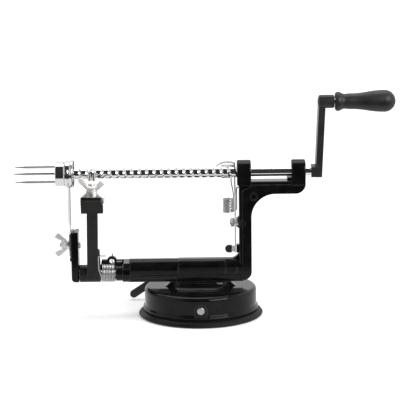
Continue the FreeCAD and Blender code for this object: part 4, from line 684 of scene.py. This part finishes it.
def joined(first: Form, second: Form) -> Form:
    """Puts two forms into one.

    Args:
        first: The first form.
        second: The form whose points and faces come after it.

    Returns:
        Both as one form.
    """
    shift = len(first[0])
    faces = [tuple(index + shift for index in face) for face in second[1]]
    return first[0] + second[0], first[1] + faces


def turned_form(profile: Sequence[Span], steps: int, ring: bool = False) -> Form:
    """Turns a profile about +Z.

    Args:
        profile: Pairs of radius and height in metres.
        steps: Number of steps round the axis.
        ring: Whether the profile closes on itself, as for a ring or a bored hub.

    Returns:
        The points and the faces.
    """
    points = []
    for radius, height in profile:
        for step in range(steps):
            angle = FULL_TURN * step / steps
            points.append(Vector((radius * math.cos(angle), radius * math.sin(angle), height)))
    rows = [range(row * steps, (row + 1) * steps) for row in range(len(profile))]
    faces: Faces = []
    for here, there in zip(rows, rows[1:] + rows[:1] if ring else rows[1:]):
        faces += band(here, there)
    return points, faces


@dataclass
class Wire:
    """Round drawn wire bent along a line."""

    radius: float
    sides: int = 12
    leg_steps: int = 12
    turn_steps: int = 28
    tip_reach: float = 0.45
    tip_width: float = 0.55

    def leg(self, bends: Sequence[Bend]) -> list[Vector]:
        """Draws a smooth line through bends.

        Args:
            bends: Places on the wire, each with the way it runs there.

        Returns:
            Points of the line.
        """
        points = [bends[0][0].copy()]
        for (start, leave), (end, arrive) in zip(bends, bends[1:]):
            reach = (end - start).length / 3
            points += interpolate_bezier(start, start + leave.normalized() * reach,
                                         end - arrive.normalized() * reach, end,
                                         self.leg_steps)[1:]
        return points

    def coil(self, place: Vector, side: Vector, up: Vector, axis: Vector, radius: float,
             pitch: float, turns: float, start: float) -> tuple[list[Vector], Bend, Bend]:
        """Winds a coil.

        Args:
            place: Middle of the coil where it starts.
            side: Way from the axis at turn 0.
            up: Way from the axis a quarter turn on.
            axis: Way along which the coil advances.
            radius: Radius to the middle of the wire.
            pitch: Advance of one turn.
            turns: Number of turns.
            start: Turn at which it starts.

        Returns:
            Points of the coil, its first bend and its last.
        """
        count = int(turns * self.turn_steps)
        points, ways = [], []
        for index in range(count + 1):
            turned = turns * index / count
            angle = FULL_TURN * (start + turned)
            out = side * math.cos(angle) + up * math.sin(angle)
            around = up * math.cos(angle) - side * math.sin(angle)
            points.append(place + out * radius + axis * (pitch * turned))
            ways.append(around * (FULL_TURN * radius) + axis * pitch)
        return points, (points[0], ways[0]), (points[-1], ways[-1])

    def tube(self, line: Sequence[Vector]) -> Form:
        """Wraps a round skin about a line, with softly rounded ends.

        Args:
            line: Points of the wire's middle.

        Returns:
            The points and the faces.
        """
        ways = [(line[min(index + 1, len(line) - 1)] - line[max(index - 1, 0)]).normalized()
                for index in range(len(line))]
        tip, width = self.radius * self.tip_reach, self.radius * self.tip_width
        spine = [(line[0] - ways[0] * tip, ways[0], width)]
        spine += [(place, way, self.radius) for place, way in zip(line, ways)]
        spine.append((line[-1] + ways[-1] * tip, ways[-1], width))
        out = ways[0].orthogonal().normalized()
        before = ways[0]
        points: list[Vector] = []
        rows = []
        for place, way, radius in spine:
            out = before.rotation_difference(way) @ out
            before = way
            across = way.cross(out)
            rows.append(range(len(points), len(points) + self.sides))
            for step in range(self.sides):
                angle = FULL_TURN * step / self.sides
                points.append(place + (out * math.cos(angle) + across * math.sin(angle)) * radius)
        faces: Faces = [tuple(rows[0])]
        for here, there in zip(rows, rows[1:]):
            faces += band(here, there)
        faces.append(tuple(rows[-1]))
        return points, faces


@dataclass
class ScrewForm:
    """Right hand thread about +X, from 0 to its length, with a bore or with blunt ends."""

    length: float
    pitch: float
    crest: float
    depth: float
    crest_width: float
    bore: float = 0.0
    start: float = 0.0
    steps: int = 32
    groove_steps: int = 8
    nose: float = 0.0
    nose_share: float = 0.8
    spare_turns: int = 2

    def radius_at(self, along: float) -> float:
        """Radius of the thread at a distance along a groove's own line.

        Args:
            along: Distance in metres.

        Returns:
            The radius.
        """
        place = (along - self.start) % self.pitch - self.crest_width
        if place <= 0.0:
            return self.crest
        share = place / (self.pitch - self.crest_width)
        return self.crest - self.depth * (1.0 - abs(2.0 * share - 1.0))

    def form(self) -> Form:
        """Cuts the thread.

        Returns:
            The points and the faces.
        """
        groove = self.pitch - self.crest_width
        breaks = [0.0] + [self.crest_width + groove * index / self.groove_steps
                          for index in range(self.groove_steps)]
        count = math.ceil(self.length / self.pitch) + 2 * self.spare_turns
        rows = [self.start + (index - self.spare_turns) * self.pitch + place
                for index in range(count) for place in breaks]
        points = []
        for row in rows:
            for step in range(self.steps):
                shift = self.pitch * step / self.steps
                held = min(max(row + shift, 0.0), self.length)
                points.append(self.spot(held, self.radius_at(held - shift), step))
        faces = []
        for row in range(len(rows) - 1):
            for step in range(self.steps):
                here = row * self.steps + step
                beside = here + 1
                if step + 1 == self.steps:
                    beside = (row + len(breaks)) * self.steps
                if beside + self.steps < len(points):
                    faces.append((here, here + self.steps, beside + self.steps, beside))
        last = range((len(rows) - 1) * self.steps, len(points))
        self.close(points, faces, range(self.steps), last)
        return points, faces

    def spot(self, along: float, radius: float, step: int) -> Vector:
        """Point at a distance along the axis, a radius and a step round it."""
        angle = FULL_TURN * step / self.steps
        return Vector((along, radius * math.cos(angle), radius * math.sin(angle)))

    def close(self, points: list[Vector], faces: Faces, first: Sequence[int],
              last: Sequence[int]) -> None:
        """Closes both ends, by a bore between them or by blunt noses.

        Args:
            points: The thread's points, which grow.
            faces: The thread's faces, which grow.
            first: Indices of the points round the left end.
            last: Indices of the points round the right end.
        """
        radius = self.bore or (self.crest - self.depth) * self.nose_share
        inner = []
        for edge, end in ((first, -self.nose), (last, self.length + self.nose)):
            inner.append(range(len(points), len(points) + self.steps))
            points += [self.spot(end, radius, step) for step in range(self.steps)]
            faces += band(edge, inner[-1])
        faces += band(*inner) if self.bore else [tuple(ring) for ring in inner]


@dataclass(frozen=True)
class WingNut:
    """Cast wing nut on the origin, with its axis along +Z and its wings along X."""

    hub_radius: float
    hub_height: float
    bore: float
    tip_radius: float
    tip_height: float
    thickness: float
    rings: tuple[Span, ...] = ()
    foot_share: float = 0.8
    shoulder: float = 1.5 * MM
    edge: float = 0.3 * MM
    grain: float = 0.16 * MM
    round_steps: int = 48
    smoothing: int = 3
    softness: float = 0.5
    crease: float = 60.0

    def ear(self, side: int) -> Form:
        """One wing, thicker at its root than at its tip.

        Args:
            side: 1 or -1.

        Returns:
            The points and the faces.
        """
        half = self.thickness / 2
        root, tip, top = self.hub_radius, self.tip_radius, self.tip_height
        outline = [
            (root * 0.62, 0.4 * MM, 1.3), (root * 0.98, 0.4 * MM, 1.25),
            (tip - 1.6 * MM, top * 0.48, 1.0), (tip - 0.1 * MM, top * 0.68, 1.0),
            (tip, top * 0.75, 1.0), (tip - 0.3 * MM, top * 0.81, 1.0),
            (tip - 2.6 * MM, top * 0.99, 1.0), (tip - 3.1 * MM, top, 1.0),
            (tip - 3.5 * MM, top * 0.97, 1.0), (tip - 5.0 * MM, top * 0.72, 1.0),
            (root * 0.95, self.hub_height * 1.1, 1.2), (root * 0.62, self.hub_height * 0.95, 1.3),
        ]
        points = [Vector((side * across, way * half * share, height))
                  for way in (-1, 1) for across, height, share in outline]
        front, back = range(len(outline)), range(len(outline), len(points))
        return points, [tuple(front), tuple(back), *band(front, back)]

    def build(self, name: str, place: Matrix, finish: Finish, node: str) -> bpy.types.Object:
        """Casts hub and wings in one, softens the joins and puts the nut in its place.

        Args:
            name: Name of the piece.
            place: Matrix that puts the nut where it belongs.
            finish: Its finish.
            node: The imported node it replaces.

        Returns:
            The object.
        """
        foot, edge = self.hub_radius * self.foot_share, self.edge
        form = turned_form([
            (self.bore, 0.0), (foot - edge, 0.0), (foot, edge), *self.rings,
            (self.hub_radius, self.hub_height - self.shoulder),
            (self.hub_radius, self.hub_height - edge),
            (self.hub_radius - edge, self.hub_height), (self.bore + edge, self.hub_height),
            (self.bore, self.hub_height - edge),
        ], self.round_steps, ring=True)
        for side in (1, -1):
            form = joined(form, self.ear(side))
        rough = form_mesh(name + "_rough", form, weld=False)
        blank = linked(name + "_rough", rough)
        melt = blank.modifiers.new("melt", "REMESH")
        melt.mode = "VOXEL"
        melt.voxel_size = self.grain
        soften = blank.modifiers.new("soften", "SMOOTH")
        soften.factor = self.softness
        soften.iterations = self.smoothing
        ready = blank.evaluated_get(bpy.context.evaluated_depsgraph_get())
        mesh = bpy.data.meshes.new_from_object(ready)
        mesh.name = name
        mesh.transform(place)
        bpy.data.objects.remove(blank)
        bpy.data.meshes.remove(rough)
        return dressed_piece(name, mesh, finish, node, self.crease)


@dataclass(frozen=True)
class SoftBox:
    """Rectangular lamp that faces a point."""

    name: str
    place: Point
    aim: Point
    size: tuple[float, float]
    power: float

    def hang(self) -> None:
        """Hangs the lamp."""
        data = bpy.data.lights.new(self.name, "AREA")
        data.shape = "RECTANGLE"
        data.size, data.size_y = self.size
        data.energy = self.power
        lamp = linked(self.name, data)
        lamp.location = self.place
        way = Vector(self.aim) - Vector(self.place)
        lamp.rotation_euler = way.to_track_quat("-Z", "Y").to_euler()


@dataclass
class Studio:
    """Camera, floor and light."""

    eye: Point = (0.000384, -1.257396, 0.325172)
    pitch: float = math.radians(10.452)
    roll: float = math.radians(0.68)
    lens: float = 144.0
    sensor: float = 36.0
    clip: Span = (0.01, 20.0)
    floor_reach: float = 9.0
    paper: Colour = (0.86, 0.86, 0.86)
    glow_reach: Span = (0.3, 1.6)
    glow: Span = (0.36, 0.62)
    table_edge: Span = (-0.2, -0.16)
    table_glow: float = 0.9
    room_glow: float = 0.03
    wall_rise: Span = (0.02, 0.3)
    side_rise: Span = (0.45, 0.75)
    side_glow: float = 0.85
    sky_level: float = 0.5
    boxes: tuple[SoftBox, ...] = (
        SoftBox("top box", (0.0, 0.35, 1.5), (0.0, 0.0, 0.05), (1.6, 0.9), 9.0),
        SoftBox("side box", (0.95, -1.15, 0.9), (0.0, 0.0, 0.08), (1.1, 0.7), 18.0),
    )

    def build(self) -> None:
        """Sets up everything that isn't part of the object."""
        self.place_camera()
        self.lay_floor()
        for box in self.boxes:
            box.hang()
        self.paint_sky()
        bpy.context.scene.view_settings.view_transform = "Standard"

    def place_camera(self) -> None:
        """Stands the camera where the photograph was taken from."""
        forward = Vector((0.0, math.cos(self.pitch), -math.sin(self.pitch)))
        up = ALONG_X.cross(forward)
        across = ALONG_X * math.cos(self.roll) - up * math.sin(self.roll)
        over = ALONG_X * math.sin(self.roll) + up * math.cos(self.roll)
        data = bpy.data.cameras.new("view")
        data.sensor_width = self.sensor
        data.lens = self.lens
        data.clip_start, data.clip_end = self.clip
        camera = linked("view", data)
        turn = Matrix((across, over, -forward)).transposed().to_4x4()
        camera.matrix_world = Matrix.Translation(self.eye) @ turn
        bpy.context.scene.camera = camera

    @staticmethod
    def in_mirror(bench: NodeBench, seen: Sockets) -> Socket:
        """Tells whether a ray comes by way of metal or glass."""
        return bench.sums("MAXIMUM", seen["Is Glossy Ray"], seen["Is Transmission Ray"])

    def lay_floor(self) -> None:
        """Lays a pale floor that keeps the shadow, and mirrors as a white table in a dim room."""
        half = self.floor_reach
        mesh = bpy.data.meshes.new("floor")
        mesh.from_pydata([(-half, -half, 0.0), (half, -half, 0.0), (half, half, 0.0),
                          (-half, half, 0.0)], [], [(0, 1, 2, 3)])
        floor = linked("floor", mesh)
        paper = bpy.data.materials.new("pale paper")
        bench = NodeBench.cleared(paper)
        seen = bench.place("LightPath").outputs
        matt = bench.place("BsdfDiffuse", Color=self.paper).outputs[0]
        away = bench.place("VectorMath", bench.here(), operation="LENGTH").outputs["Value"]
        glow = bench.place("Emission", Color=WHITE,
                           Strength=bench.spread(away, self.glow_reach, self.glow))
        lifted = bench.place("AddShader", matt, glow.outputs[0]).outputs[0]
        plain = bench.either(seen["Is Camera Ray"], matt, lifted)
        spot = bench.place("SeparateXYZ", bench.here())
        edge = bench.spread(spot.outputs["Y"], self.table_edge, (self.room_glow, self.table_glow))
        table = bench.place("Emission", Color=WHITE, Strength=edge).outputs[0]
        bench.place("OutputMaterial", bench.either(self.in_mirror(bench, seen), plain, table))
        mesh.materials.append(paper)

    def paint_sky(self) -> None:
        """Surrounds the object with white, and lets metal mirror a white wall and a dim room."""
        world = bpy.data.worlds.new("studio")
        bpy.context.scene.world = world
        bench = NodeBench.cleared(world)
        seen = bench.place("LightPath").outputs
        way = bench.place("SeparateXYZ", bench.place("TexCoord").outputs["Generated"]).outputs
        back = bench.spread(way["Y"], self.wall_rise, (self.room_glow, 1.0))
        aside = bench.spread(bench.sums("ABSOLUTE", way["X"], 0.0), self.side_rise,
                             (0.0, self.side_glow))
        wall = bench.sums("MAXIMUM", back, aside)
        white, soft, mirror = (bench.place("Background", Color=WHITE, Strength=level).outputs[0]
                               for level in (1.0, self.sky_level, wall))
        lit = bench.either(self.in_mirror(bench, seen), soft, mirror)
        bench.place("OutputWorld", bench.either(seen["Is Camera Ray"], lit, white))


@dataclass
class SuctionBase:
    """Round base: rubber cup, cast cover, lever and what they hide."""

    reach: float = 50.0 * MM
    sole: float = 48.0 * MM
    widest: float = 1.7 * MM
    lip_radius: float = 46.1 * MM
    lip_height: float = 4.8 * MM
    seat_width: float = 1.0 * MM
    seat_height: float = 5.5 * MM
    inner: float = 43.6 * MM
    skirt: float = 41.1 * MM
    skin: float = 2.6 * MM
    foot_bulge: float = 0.42 * MM
    side_bulge: float = 0.55 * MM
    inside_bulge: float = -0.3 * MM
    ring_radii: tuple[float, ...] = (30.0 * MM, 34.0 * MM, 38.0 * MM, 42.0 * MM)
    ring_width: float = 1.6 * MM
    ring_depth: float = 0.5 * MM
    ring_shares: tuple[float, ...] = (-1.0, -0.7, -0.3, 0.3, 0.7, 1.0)
    bow_steps: int = 6
    side_steps: int = 9
    round_steps: int = 160
    crease: float = 34.0

    def build(self) -> None:
        """Moulds the cup and dresses the rest of the base."""
        cup = made_piece("rubber_cup", turned_form(self.cup_profile(), self.round_steps), RUBBER,
                         "suction_cup", self.crease)
        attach(cup, "frame")
        dress_nodes(ENAMEL, ["base_housing"])
        dress_nodes(HANDLE_PLASTIC, ["suction_lever"])
        dress_nodes(PLAIN_STEEL, ["lever_axle", "lift_cam", "axle_clip", "cup_stud",
                                  "frame_screws"])

    def cup_profile(self) -> list[Span]:
        """Outline of the cup, from the middle of its sole round the lip to its inside.

        Returns:
            Pairs of radius and height.
        """
        profile = [(0.0, 0.0)]
        for middle in self.ring_radii:
            for share in self.ring_shares:
                lift = self.ring_depth * (1.0 - share * share) ** 0.5
                profile.append((middle + share * self.ring_width / 2, lift))
        edge, lip = (self.reach, self.widest), (self.lip_radius, self.lip_height)
        seat = (self.inner, self.seat_height)
        profile += self.bowed((self.sole, 0.0), edge, self.foot_bulge, self.bow_steps)
        profile += self.bowed(edge, lip, self.side_bulge, self.side_steps)[1:]
        neck = self.lip_radius - self.seat_width
        profile += [(neck, self.lip_height), (neck, self.seat_height), seat]
        profile += self.bowed(seat, (self.skirt, self.skin), self.inside_bulge,
                              self.bow_steps)[1:]
        profile.append((0.0, self.skin))
        return profile

    def bowed(self, first: Span, last: Span, bulge: float, steps: int) -> list[Span]:
        """Line between two places that bows out to its right.

        Args:
            first: Where it starts, as radius and height.
            last: Where it ends.
            bulge: How far it bows out.
            steps: Number of steps.

        Returns:
            Pairs of radius and height.
        """
        along = (last[0] - first[0], last[1] - first[1])
        length = math.hypot(*along)
        out = (along[1] / length, -along[0] / length)
        line = []
        for step in range(steps + 1):
            share = step / steps
            bow = bulge * math.sin(math.pi * share)
            line.append((first[0] + along[0] * share + out[0] * bow,
                         first[1] + along[1] * share + out[1] * bow))
        return line


@dataclass
class CastFrame:
    """Bar, post, arm and bosses in one black casting."""

    def build(self) -> None:
        """Dresses the casting and the pin it holds."""
        dress_nodes(ENAMEL, ["frame_casting"])
        dress_nodes(PLAIN_STEEL, ["peel_arm_pin"])


@dataclass
class ScrewDrive:
    """Feed screw with the fork on its end, and the corer ring in line with it."""

    thread_left: float = -100.5 * MM
    thread_right: float = 36.0 * MM
    axis_height: float = 115.5 * MM
    pitch: float = 5.92 * MM
    crest: float = 4.2 * MM
    crest_width: float = 3.35 * MM
    groove_depth: float = 0.66 * MM
    bore: float = 3.515 * MM
    phase: float = -1.6 * MM
    thread_steps: int = 48
    groove_steps: int = 6
    thread_crease: float = 16.0
    ring_left: float = -106.6 * MM
    ring_length: float = 6.5 * MM
    ring_inner: float = 10.4 * MM
    ring_wall: float = 0.14 * MM
    ring_lead: float = 0.25 * MM
    ring_bead_width: float = 3.0 * MM
    ring_bead_rise: float = 0.3 * MM
    ring_gap: float = 0.2 * MM
    ring_flare_end: float = 5.3 * MM
    ring_flare_bow: float = 1.15
    ring_flare_steps: int = 4
    ring_rim: float = 0.98 * MM
    ring_land: float = 0.5 * MM
    ring_fall: float = 0.55 * MM
    ring_edge: float = 0.1 * MM
    ring_steps: int = 14
    ring_round_steps: int = 128
    ring_crease: float = 50.0

    def build(self) -> None:
        """Rolls the thread, turns the corer ring, and dresses the screw and the fork."""
        screw = ScrewForm(self.thread_right - self.thread_left, self.pitch, self.crest,
                          self.groove_depth, self.crest_width, bore=self.bore, start=self.phase,
                          steps=self.thread_steps, groove_steps=self.groove_steps)
        start = Matrix.Translation((self.thread_left, 0.0, self.axis_height))
        piece = made_piece("screw_thread", screw.form(), CHROME, "feed_thread",
                           self.thread_crease, start)
        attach(piece, "crank")
        dress_nodes(CHROME, ["feed_shaft", "fork_prongs"])
        dress_nodes(TURNED_CHROME, ["fork_hub"])
        end = Matrix.Translation((self.ring_left, 0.0, self.axis_height))
        form = turned_form(self.ring_profile(), self.ring_round_steps, ring=True)
        ring = made_piece("corer_collar", form, TURNED_CHROME, "corer_ring", self.ring_crease,
                          end @ Matrix.Rotation(QUARTER_TURN, 4, "Y"))
        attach(ring, "frame")

    def ring_profile(self) -> list[Span]:
        """Outline of the corer ring: a low bead, then a flare up to a narrow rim.

        Returns:
            Pairs of radius and distance from its left end.
        """
        inner, length = self.ring_inner, self.ring_length
        foot = inner + self.ring_wall
        profile = [(inner, length), (inner, self.ring_lead), (foot, 0.0)]
        for step in range(1, self.ring_steps + 1):
            share = step / self.ring_steps
            profile.append((foot + self.ring_bead_rise * math.sin(math.pi * share),
                            self.ring_bead_width * share))
        rim = inner + self.ring_rim
        start = self.ring_bead_width + self.ring_gap
        for step in range(self.ring_flare_steps + 1):
            share = step / self.ring_flare_steps
            profile.append((foot + (rim - foot) * share ** self.ring_flare_bow,
                            start + (self.ring_flare_end - start) * share))
        profile += [(rim, self.ring_flare_end + self.ring_land),
                    (rim - self.ring_fall, length - self.ring_edge),
                    (rim - self.ring_fall - self.ring_edge, length)]
        return profile


@dataclass
class Stud:
    """Bolt with a rolled thread on its left end, a plain shank and a low head on its right."""

    radius: float = 2.0 * MM
    pitch: float = 0.8 * MM
    depth: float = 0.28 * MM
    crest_width: float = 0.22 * MM
    nose: float = 0.3 * MM
    head_edge: float = 0.5 * MM
    edge_share: float = 0.45
    edge_in: float = 0.4
    edge_down: float = 0.25
    thread_steps: int = 28
    groove_steps: int = 5
    head_steps: int = 40

    def build(self, thread: float, whole: float, head: Span = (0.0, 0.0)) -> Form:
        """Makes the bolt along +X from 0.

        Args:
            thread: Length of the thread, its nose included.
            whole: Length of thread and shank.
            head: Radius and height of the head, 0 for none.

        Returns:
            The points and the faces.
        """
        form = ScrewForm(thread - 2 * self.nose, self.pitch, self.radius, self.depth,
                         self.crest_width, nose=self.nose, groove_steps=self.groove_steps,
                         steps=self.thread_steps)
        points, faces = form.form()
        wide, high = head
        profile = [(0.0, thread), (self.radius, thread), (self.radius, whole)]
        if high:
            edge, top = min(high * self.edge_share, self.head_edge), whole + high
            profile += [(wide, whole), (wide, top - edge),
                        (wide - edge * self.edge_in, top - edge * self.edge_down),
                        (wide - edge, top)]
        profile.append((0.0, whole + high))
        body, sheets = turned_form(profile, self.head_steps)
        return joined(([point + ALONG_X * self.nose for point in points], faces),
                      ([Vector((spot.z, spot.x, spot.y)) for spot in body], sheets))


@dataclass
class SlicerClamp:
    """Slicing strip with its bolt and wing nut."""

    bolt_left: float = -112.6 * MM
    nut_foot: float = -106.75 * MM
    head_face: float = -97.4 * MM
    height: float = 58.0 * MM
    thread: float = 6.4 * MM
    head: Span = (2.9 * MM, 1.6 * MM)
    nut: WingNut = WingNut(4.1 * MM, 4.4 * MM, 2.08 * MM, 9.55 * MM, 9.75 * MM, 1.9 * MM,
                           rings=((3.3 * MM, 1.2 * MM), (2.9 * MM, 1.4 * MM),
                                  (2.9 * MM, 1.8 * MM), (3.4 * MM, 2.1 * MM)))

    def build(self) -> None:
        """Makes bolt and nut, and dresses the strip."""
        form = Stud().build(self.thread, self.head_face - self.bolt_left, self.head)
        bolt = made_piece("clamp_bolt", form, NICKEL, "slicer_bolt",
                          place=Matrix.Translation((self.bolt_left, 0.0, self.height)))
        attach(bolt, "frame")
        place = Matrix.Translation((self.nut_foot, 0.0, self.height))
        nut = self.nut.build("clamp_wing_nut", place @ Matrix.Rotation(-QUARTER_TURN, 4, "Y"),
                             CAST_NICKEL, "slicer_wing_nut")
        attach(nut, "slicer_nut")
        dress_nodes(STRIP_STEEL, ["slicer_blade"])
        dress_nodes(NICKEL, ["slicer_washers"])


@dataclass
class PeelingArm:
    """Sprung arm with the blade, its holder and the torsion spring round the hinge pin."""

    pivot: Point = (-79.175 * MM, -2.5 * MM, 34.7 * MM)
    lean: float = math.radians(17.82056)
    wire: float = 0.46 * MM
    coil_radius: float = 6.7 * MM
    coil_pitch: float = 1.26 * MM
    turns: float = 8.5
    coil_start: float = 0.5
    leg_shift: float = -1.775 * MM
    leg_start: float = 8.0 * MM
    leg_rise: float = 20.0 * MM
    leg_bend: float = 1.2 * MM
    leg_over: float = 6.0 * MM
    end_start: Bend = (Vector((0.0, 0.15, 4.4)) * MM, Vector((-0.1, 0.0, 1.0)))
    end_route: tuple[Bend, ...] = (
        (Vector((-70.5, 4.25, 42.1)) * MM, Vector((-0.6, 0.5, 0.6))),
        (Vector((-71.4, 6.55, 43.0)) * MM, Vector((0.0, 1.0, 0.15))),
        (Vector((-71.3, 9.325, 45.1)) * MM, Vector((0.05, 0.0, 1.0))),
        (Vector((-70.8, 9.325, 48.3)) * MM, Vector((0.15, 0.0, 1.0))),
    )
    holder_foot: Point = (-84.3 * MM, -29.349 * MM, 101.57 * MM)
    slope: float = math.radians(33.0)
    bolt_up_slope: float = 7.0 * MM
    nut_lift: float = 1.9 * MM
    nut_turn: float = math.radians(-12.0)
    stud_bottom: float = -8.5 * MM
    stud_top: float = 8.5 * MM
    stud_thread: float = 7.6 * MM
    nut: WingNut = WingNut(4.7 * MM, 5.7 * MM, 2.08 * MM, 10.65 * MM, 11.1 * MM, 1.95 * MM,
                           rings=((3.75 * MM, 1.1 * MM), (3.2 * MM, 1.35 * MM),
                                  (3.2 * MM, 1.75 * MM), (3.7 * MM, 2.0 * MM),
                                  (3.7 * MM, 2.6 * MM), (3.2 * MM, 2.85 * MM),
                                  (3.3 * MM, 3.3 * MM)))

    def build(self) -> None:
        """Makes spring, stud and nut, and dresses arm and blade."""
        self.wind_spring()
        self.make_clamp()
        dress_nodes(ARM_ENAMEL, ["peel_arm"])
        dress_nodes(HOLDER_STEEL, ["blade_holder", "peeling_blade"])
        dress_nodes(NICKEL, ["blade_washer"])

    def make_clamp(self) -> None:
        """Makes the stud through the holder and the wing nut on it."""
        slope = Matrix.Translation(self.holder_foot) @ Matrix.Rotation(self.slope, 4, "X")
        down = slope @ Matrix.Translation((0.0, self.bolt_up_slope, self.stud_top))
        stud = made_piece("holder_stud",
                          Stud().build(self.stud_thread, self.stud_top - self.stud_bottom),
                          NICKEL, "blade_bolt",
                          place=down @ Matrix.Rotation(QUARTER_TURN, 4, "Y"))
        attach(stud, "peeler")
        place = slope @ Matrix.Translation((0.0, self.bolt_up_slope, self.nut_lift))
        nut = self.nut.build("holder_wing_nut", place @ Matrix.Rotation(self.nut_turn, 4, "Z"),
                             CAST_NICKEL, "blade_wing_nut")
        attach(nut, "blade_nut")

    def wind_spring(self) -> None:
        """Winds the spring: one leg goes with the arm, while the coil and the other leg stay fixed.
        """
        wire = Wire(self.wire)
        up = Vector((0.0, -math.sin(self.lean), math.cos(self.lean)))
        back = Vector((0.0, math.cos(self.lean), math.sin(self.lean)))
        turns = self.turns - self.lean / FULL_TURN
        coil, first, last = wire.coil(Vector(self.pivot), back, up, ALONG_X, self.coil_radius,
                                      self.coil_pitch, turns, self.coil_start)
        shift = ALONG_X * self.leg_shift
        rest = first[0] + up * self.leg_rise + shift
        leg = wire.leg([
            (rest + ALONG_X * self.leg_over, -ALONG_X),
            (rest + ALONG_X * self.leg_bend, -ALONG_X), (rest - up * self.leg_bend, -up),
            (first[0] + up * self.leg_start + shift, -up), first])
        end = wire.leg([last, (last[0] + self.end_start[0], self.end_start[1]),
                        *self.end_route])
        upper = made_piece("arm_spring_leg", wire.tube(leg), SPRING_STEEL, "peel_arm_spring")
        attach(upper, "peeler")
        body = made_piece("arm_spring_coil", wire.tube(coil + end[1:]), SPRING_STEEL,
                          "peel_arm_spring")
        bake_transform(body)


@dataclass
class ReleaseGear:
    """Sheet lever that lifts the half nut off the screw, with the spring that holds it in."""

    wire: float = 0.5 * MM
    coil_radius: float = 4.2 * MM
    coil_pitch: float = 1.32 * MM
    turns: float = 8.75
    coil_start: float = 0.25
    coil_foot: Point = (22.975 * MM, 0.0, 83.1 * MM)
    leg_x: float = 29.725 * MM
    leg_straight: float = 7.0 * MM
    leg_bend: float = 2.2 * MM
    clear_of_lever: float = 5.6 * MM
    hook_height: float = 102.5 * MM
    hook_end: float = 32.5 * MM
    hook_straight: float = 30.7 * MM
    hook_bend: float = 1.2 * MM
    end_starts: tuple[Bend, ...] = (
        (Vector((-0.1, 1.7, 1.9)) * MM, ALONG_Z),
        (Vector((-0.9, 2.0, 8.0)) * MM, Vector((-0.18, 0.05, 1.0))),
    )
    end_route: tuple[Bend, ...] = (
        (Vector((25.4, 2.8, 107.8)) * MM, ALONG_Z),
        (Vector((25.4, 2.8, 110.0)) * MM, ALONG_Z),
    )
    bolt_left: float = 23.9 * MM
    bolt_right: float = 39.3 * MM
    bolt_height: float = 75.0 * MM
    thread: float = 4.2 * MM

    def build(self) -> None:
        """Makes spring and bolt, and dresses lever, nut and grip."""
        self.wind_spring()
        bolt = made_piece("pivot_bolt", Stud().build(self.thread, self.bolt_right - self.bolt_left),
                          NICKEL, "release_bolt",
                          place=Matrix.Translation((self.bolt_left, 0.0, self.bolt_height)))
        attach(bolt, "frame")
        dress_nodes(LEVER_STEEL, ["release_lever", "half_nut"])
        dress_nodes(NICKEL, ["release_nut", "release_washers"])
        dress_nodes(GRIP_VINYL, ["release_grip"])

    def wind_spring(self) -> None:
        """Winds the spring: hook and coil stay on the post, the long end rises to the nut."""
        wire = Wire(self.wire)
        foot = Vector(self.coil_foot)
        coil, first, last = wire.coil(foot, ALONG_X, ALONG_Y, ALONG_Z, self.coil_radius,
                                      self.coil_pitch, self.turns, self.coil_start)
        beside, clear, top = self.coil_radius, self.clear_of_lever, self.hook_height
        hook = wire.leg([
            (Vector((self.hook_end, beside, top)), -ALONG_X),
            (Vector((self.hook_straight, beside, top)), -ALONG_X),
            (Vector((self.leg_x, beside, top - self.hook_bend)), -ALONG_Z),
            (Vector((self.leg_x, beside, foot.z + self.leg_straight)), -ALONG_Z),
            (Vector((self.leg_x, clear, foot.z + self.leg_bend)), -ALONG_Z),
            (Vector((self.leg_x - self.leg_bend, clear, foot.z)), -ALONG_X), first])
        starts = [(last[0] + step, way) for step, way in self.end_starts]
        body = made_piece("release_spring_coil", wire.tube(hook + coil[1:]), SPRING_STEEL,
                          "release_spring")
        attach(body, "frame")
        end = made_piece("release_spring_end", wire.tube(wire.leg([last, *starts, *self.end_route])),
                         SPRING_STEEL, "release_spring")
        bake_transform(end)


@dataclass
class CrankHandle:
    """Crank and the handle that turns on it."""

    def build(self) -> None:
        """Dresses the crank and the handle."""
        dress_nodes(CRANK_ENAMEL, ["crank_arm"])
        dress_nodes(NICKEL, ["crank_pin", "knob_spindle"])
        dress_nodes(HANDLE_PLASTIC, ["knob"])


def main() -> None:
    """Builds the looks in order."""
    logging.basicConfig(level=logging.INFO, format="%(name)s: %(message)s")
    Studio().build()
    for part in (SuctionBase(), CastFrame(), ScrewDrive(), SlicerClamp(), PeelingArm(),
                 ReleaseGear(), CrankHandle()):
        part.build()
        LOG.info("%s done", type(part).__name__)


if __name__ == "__main__":
    main()
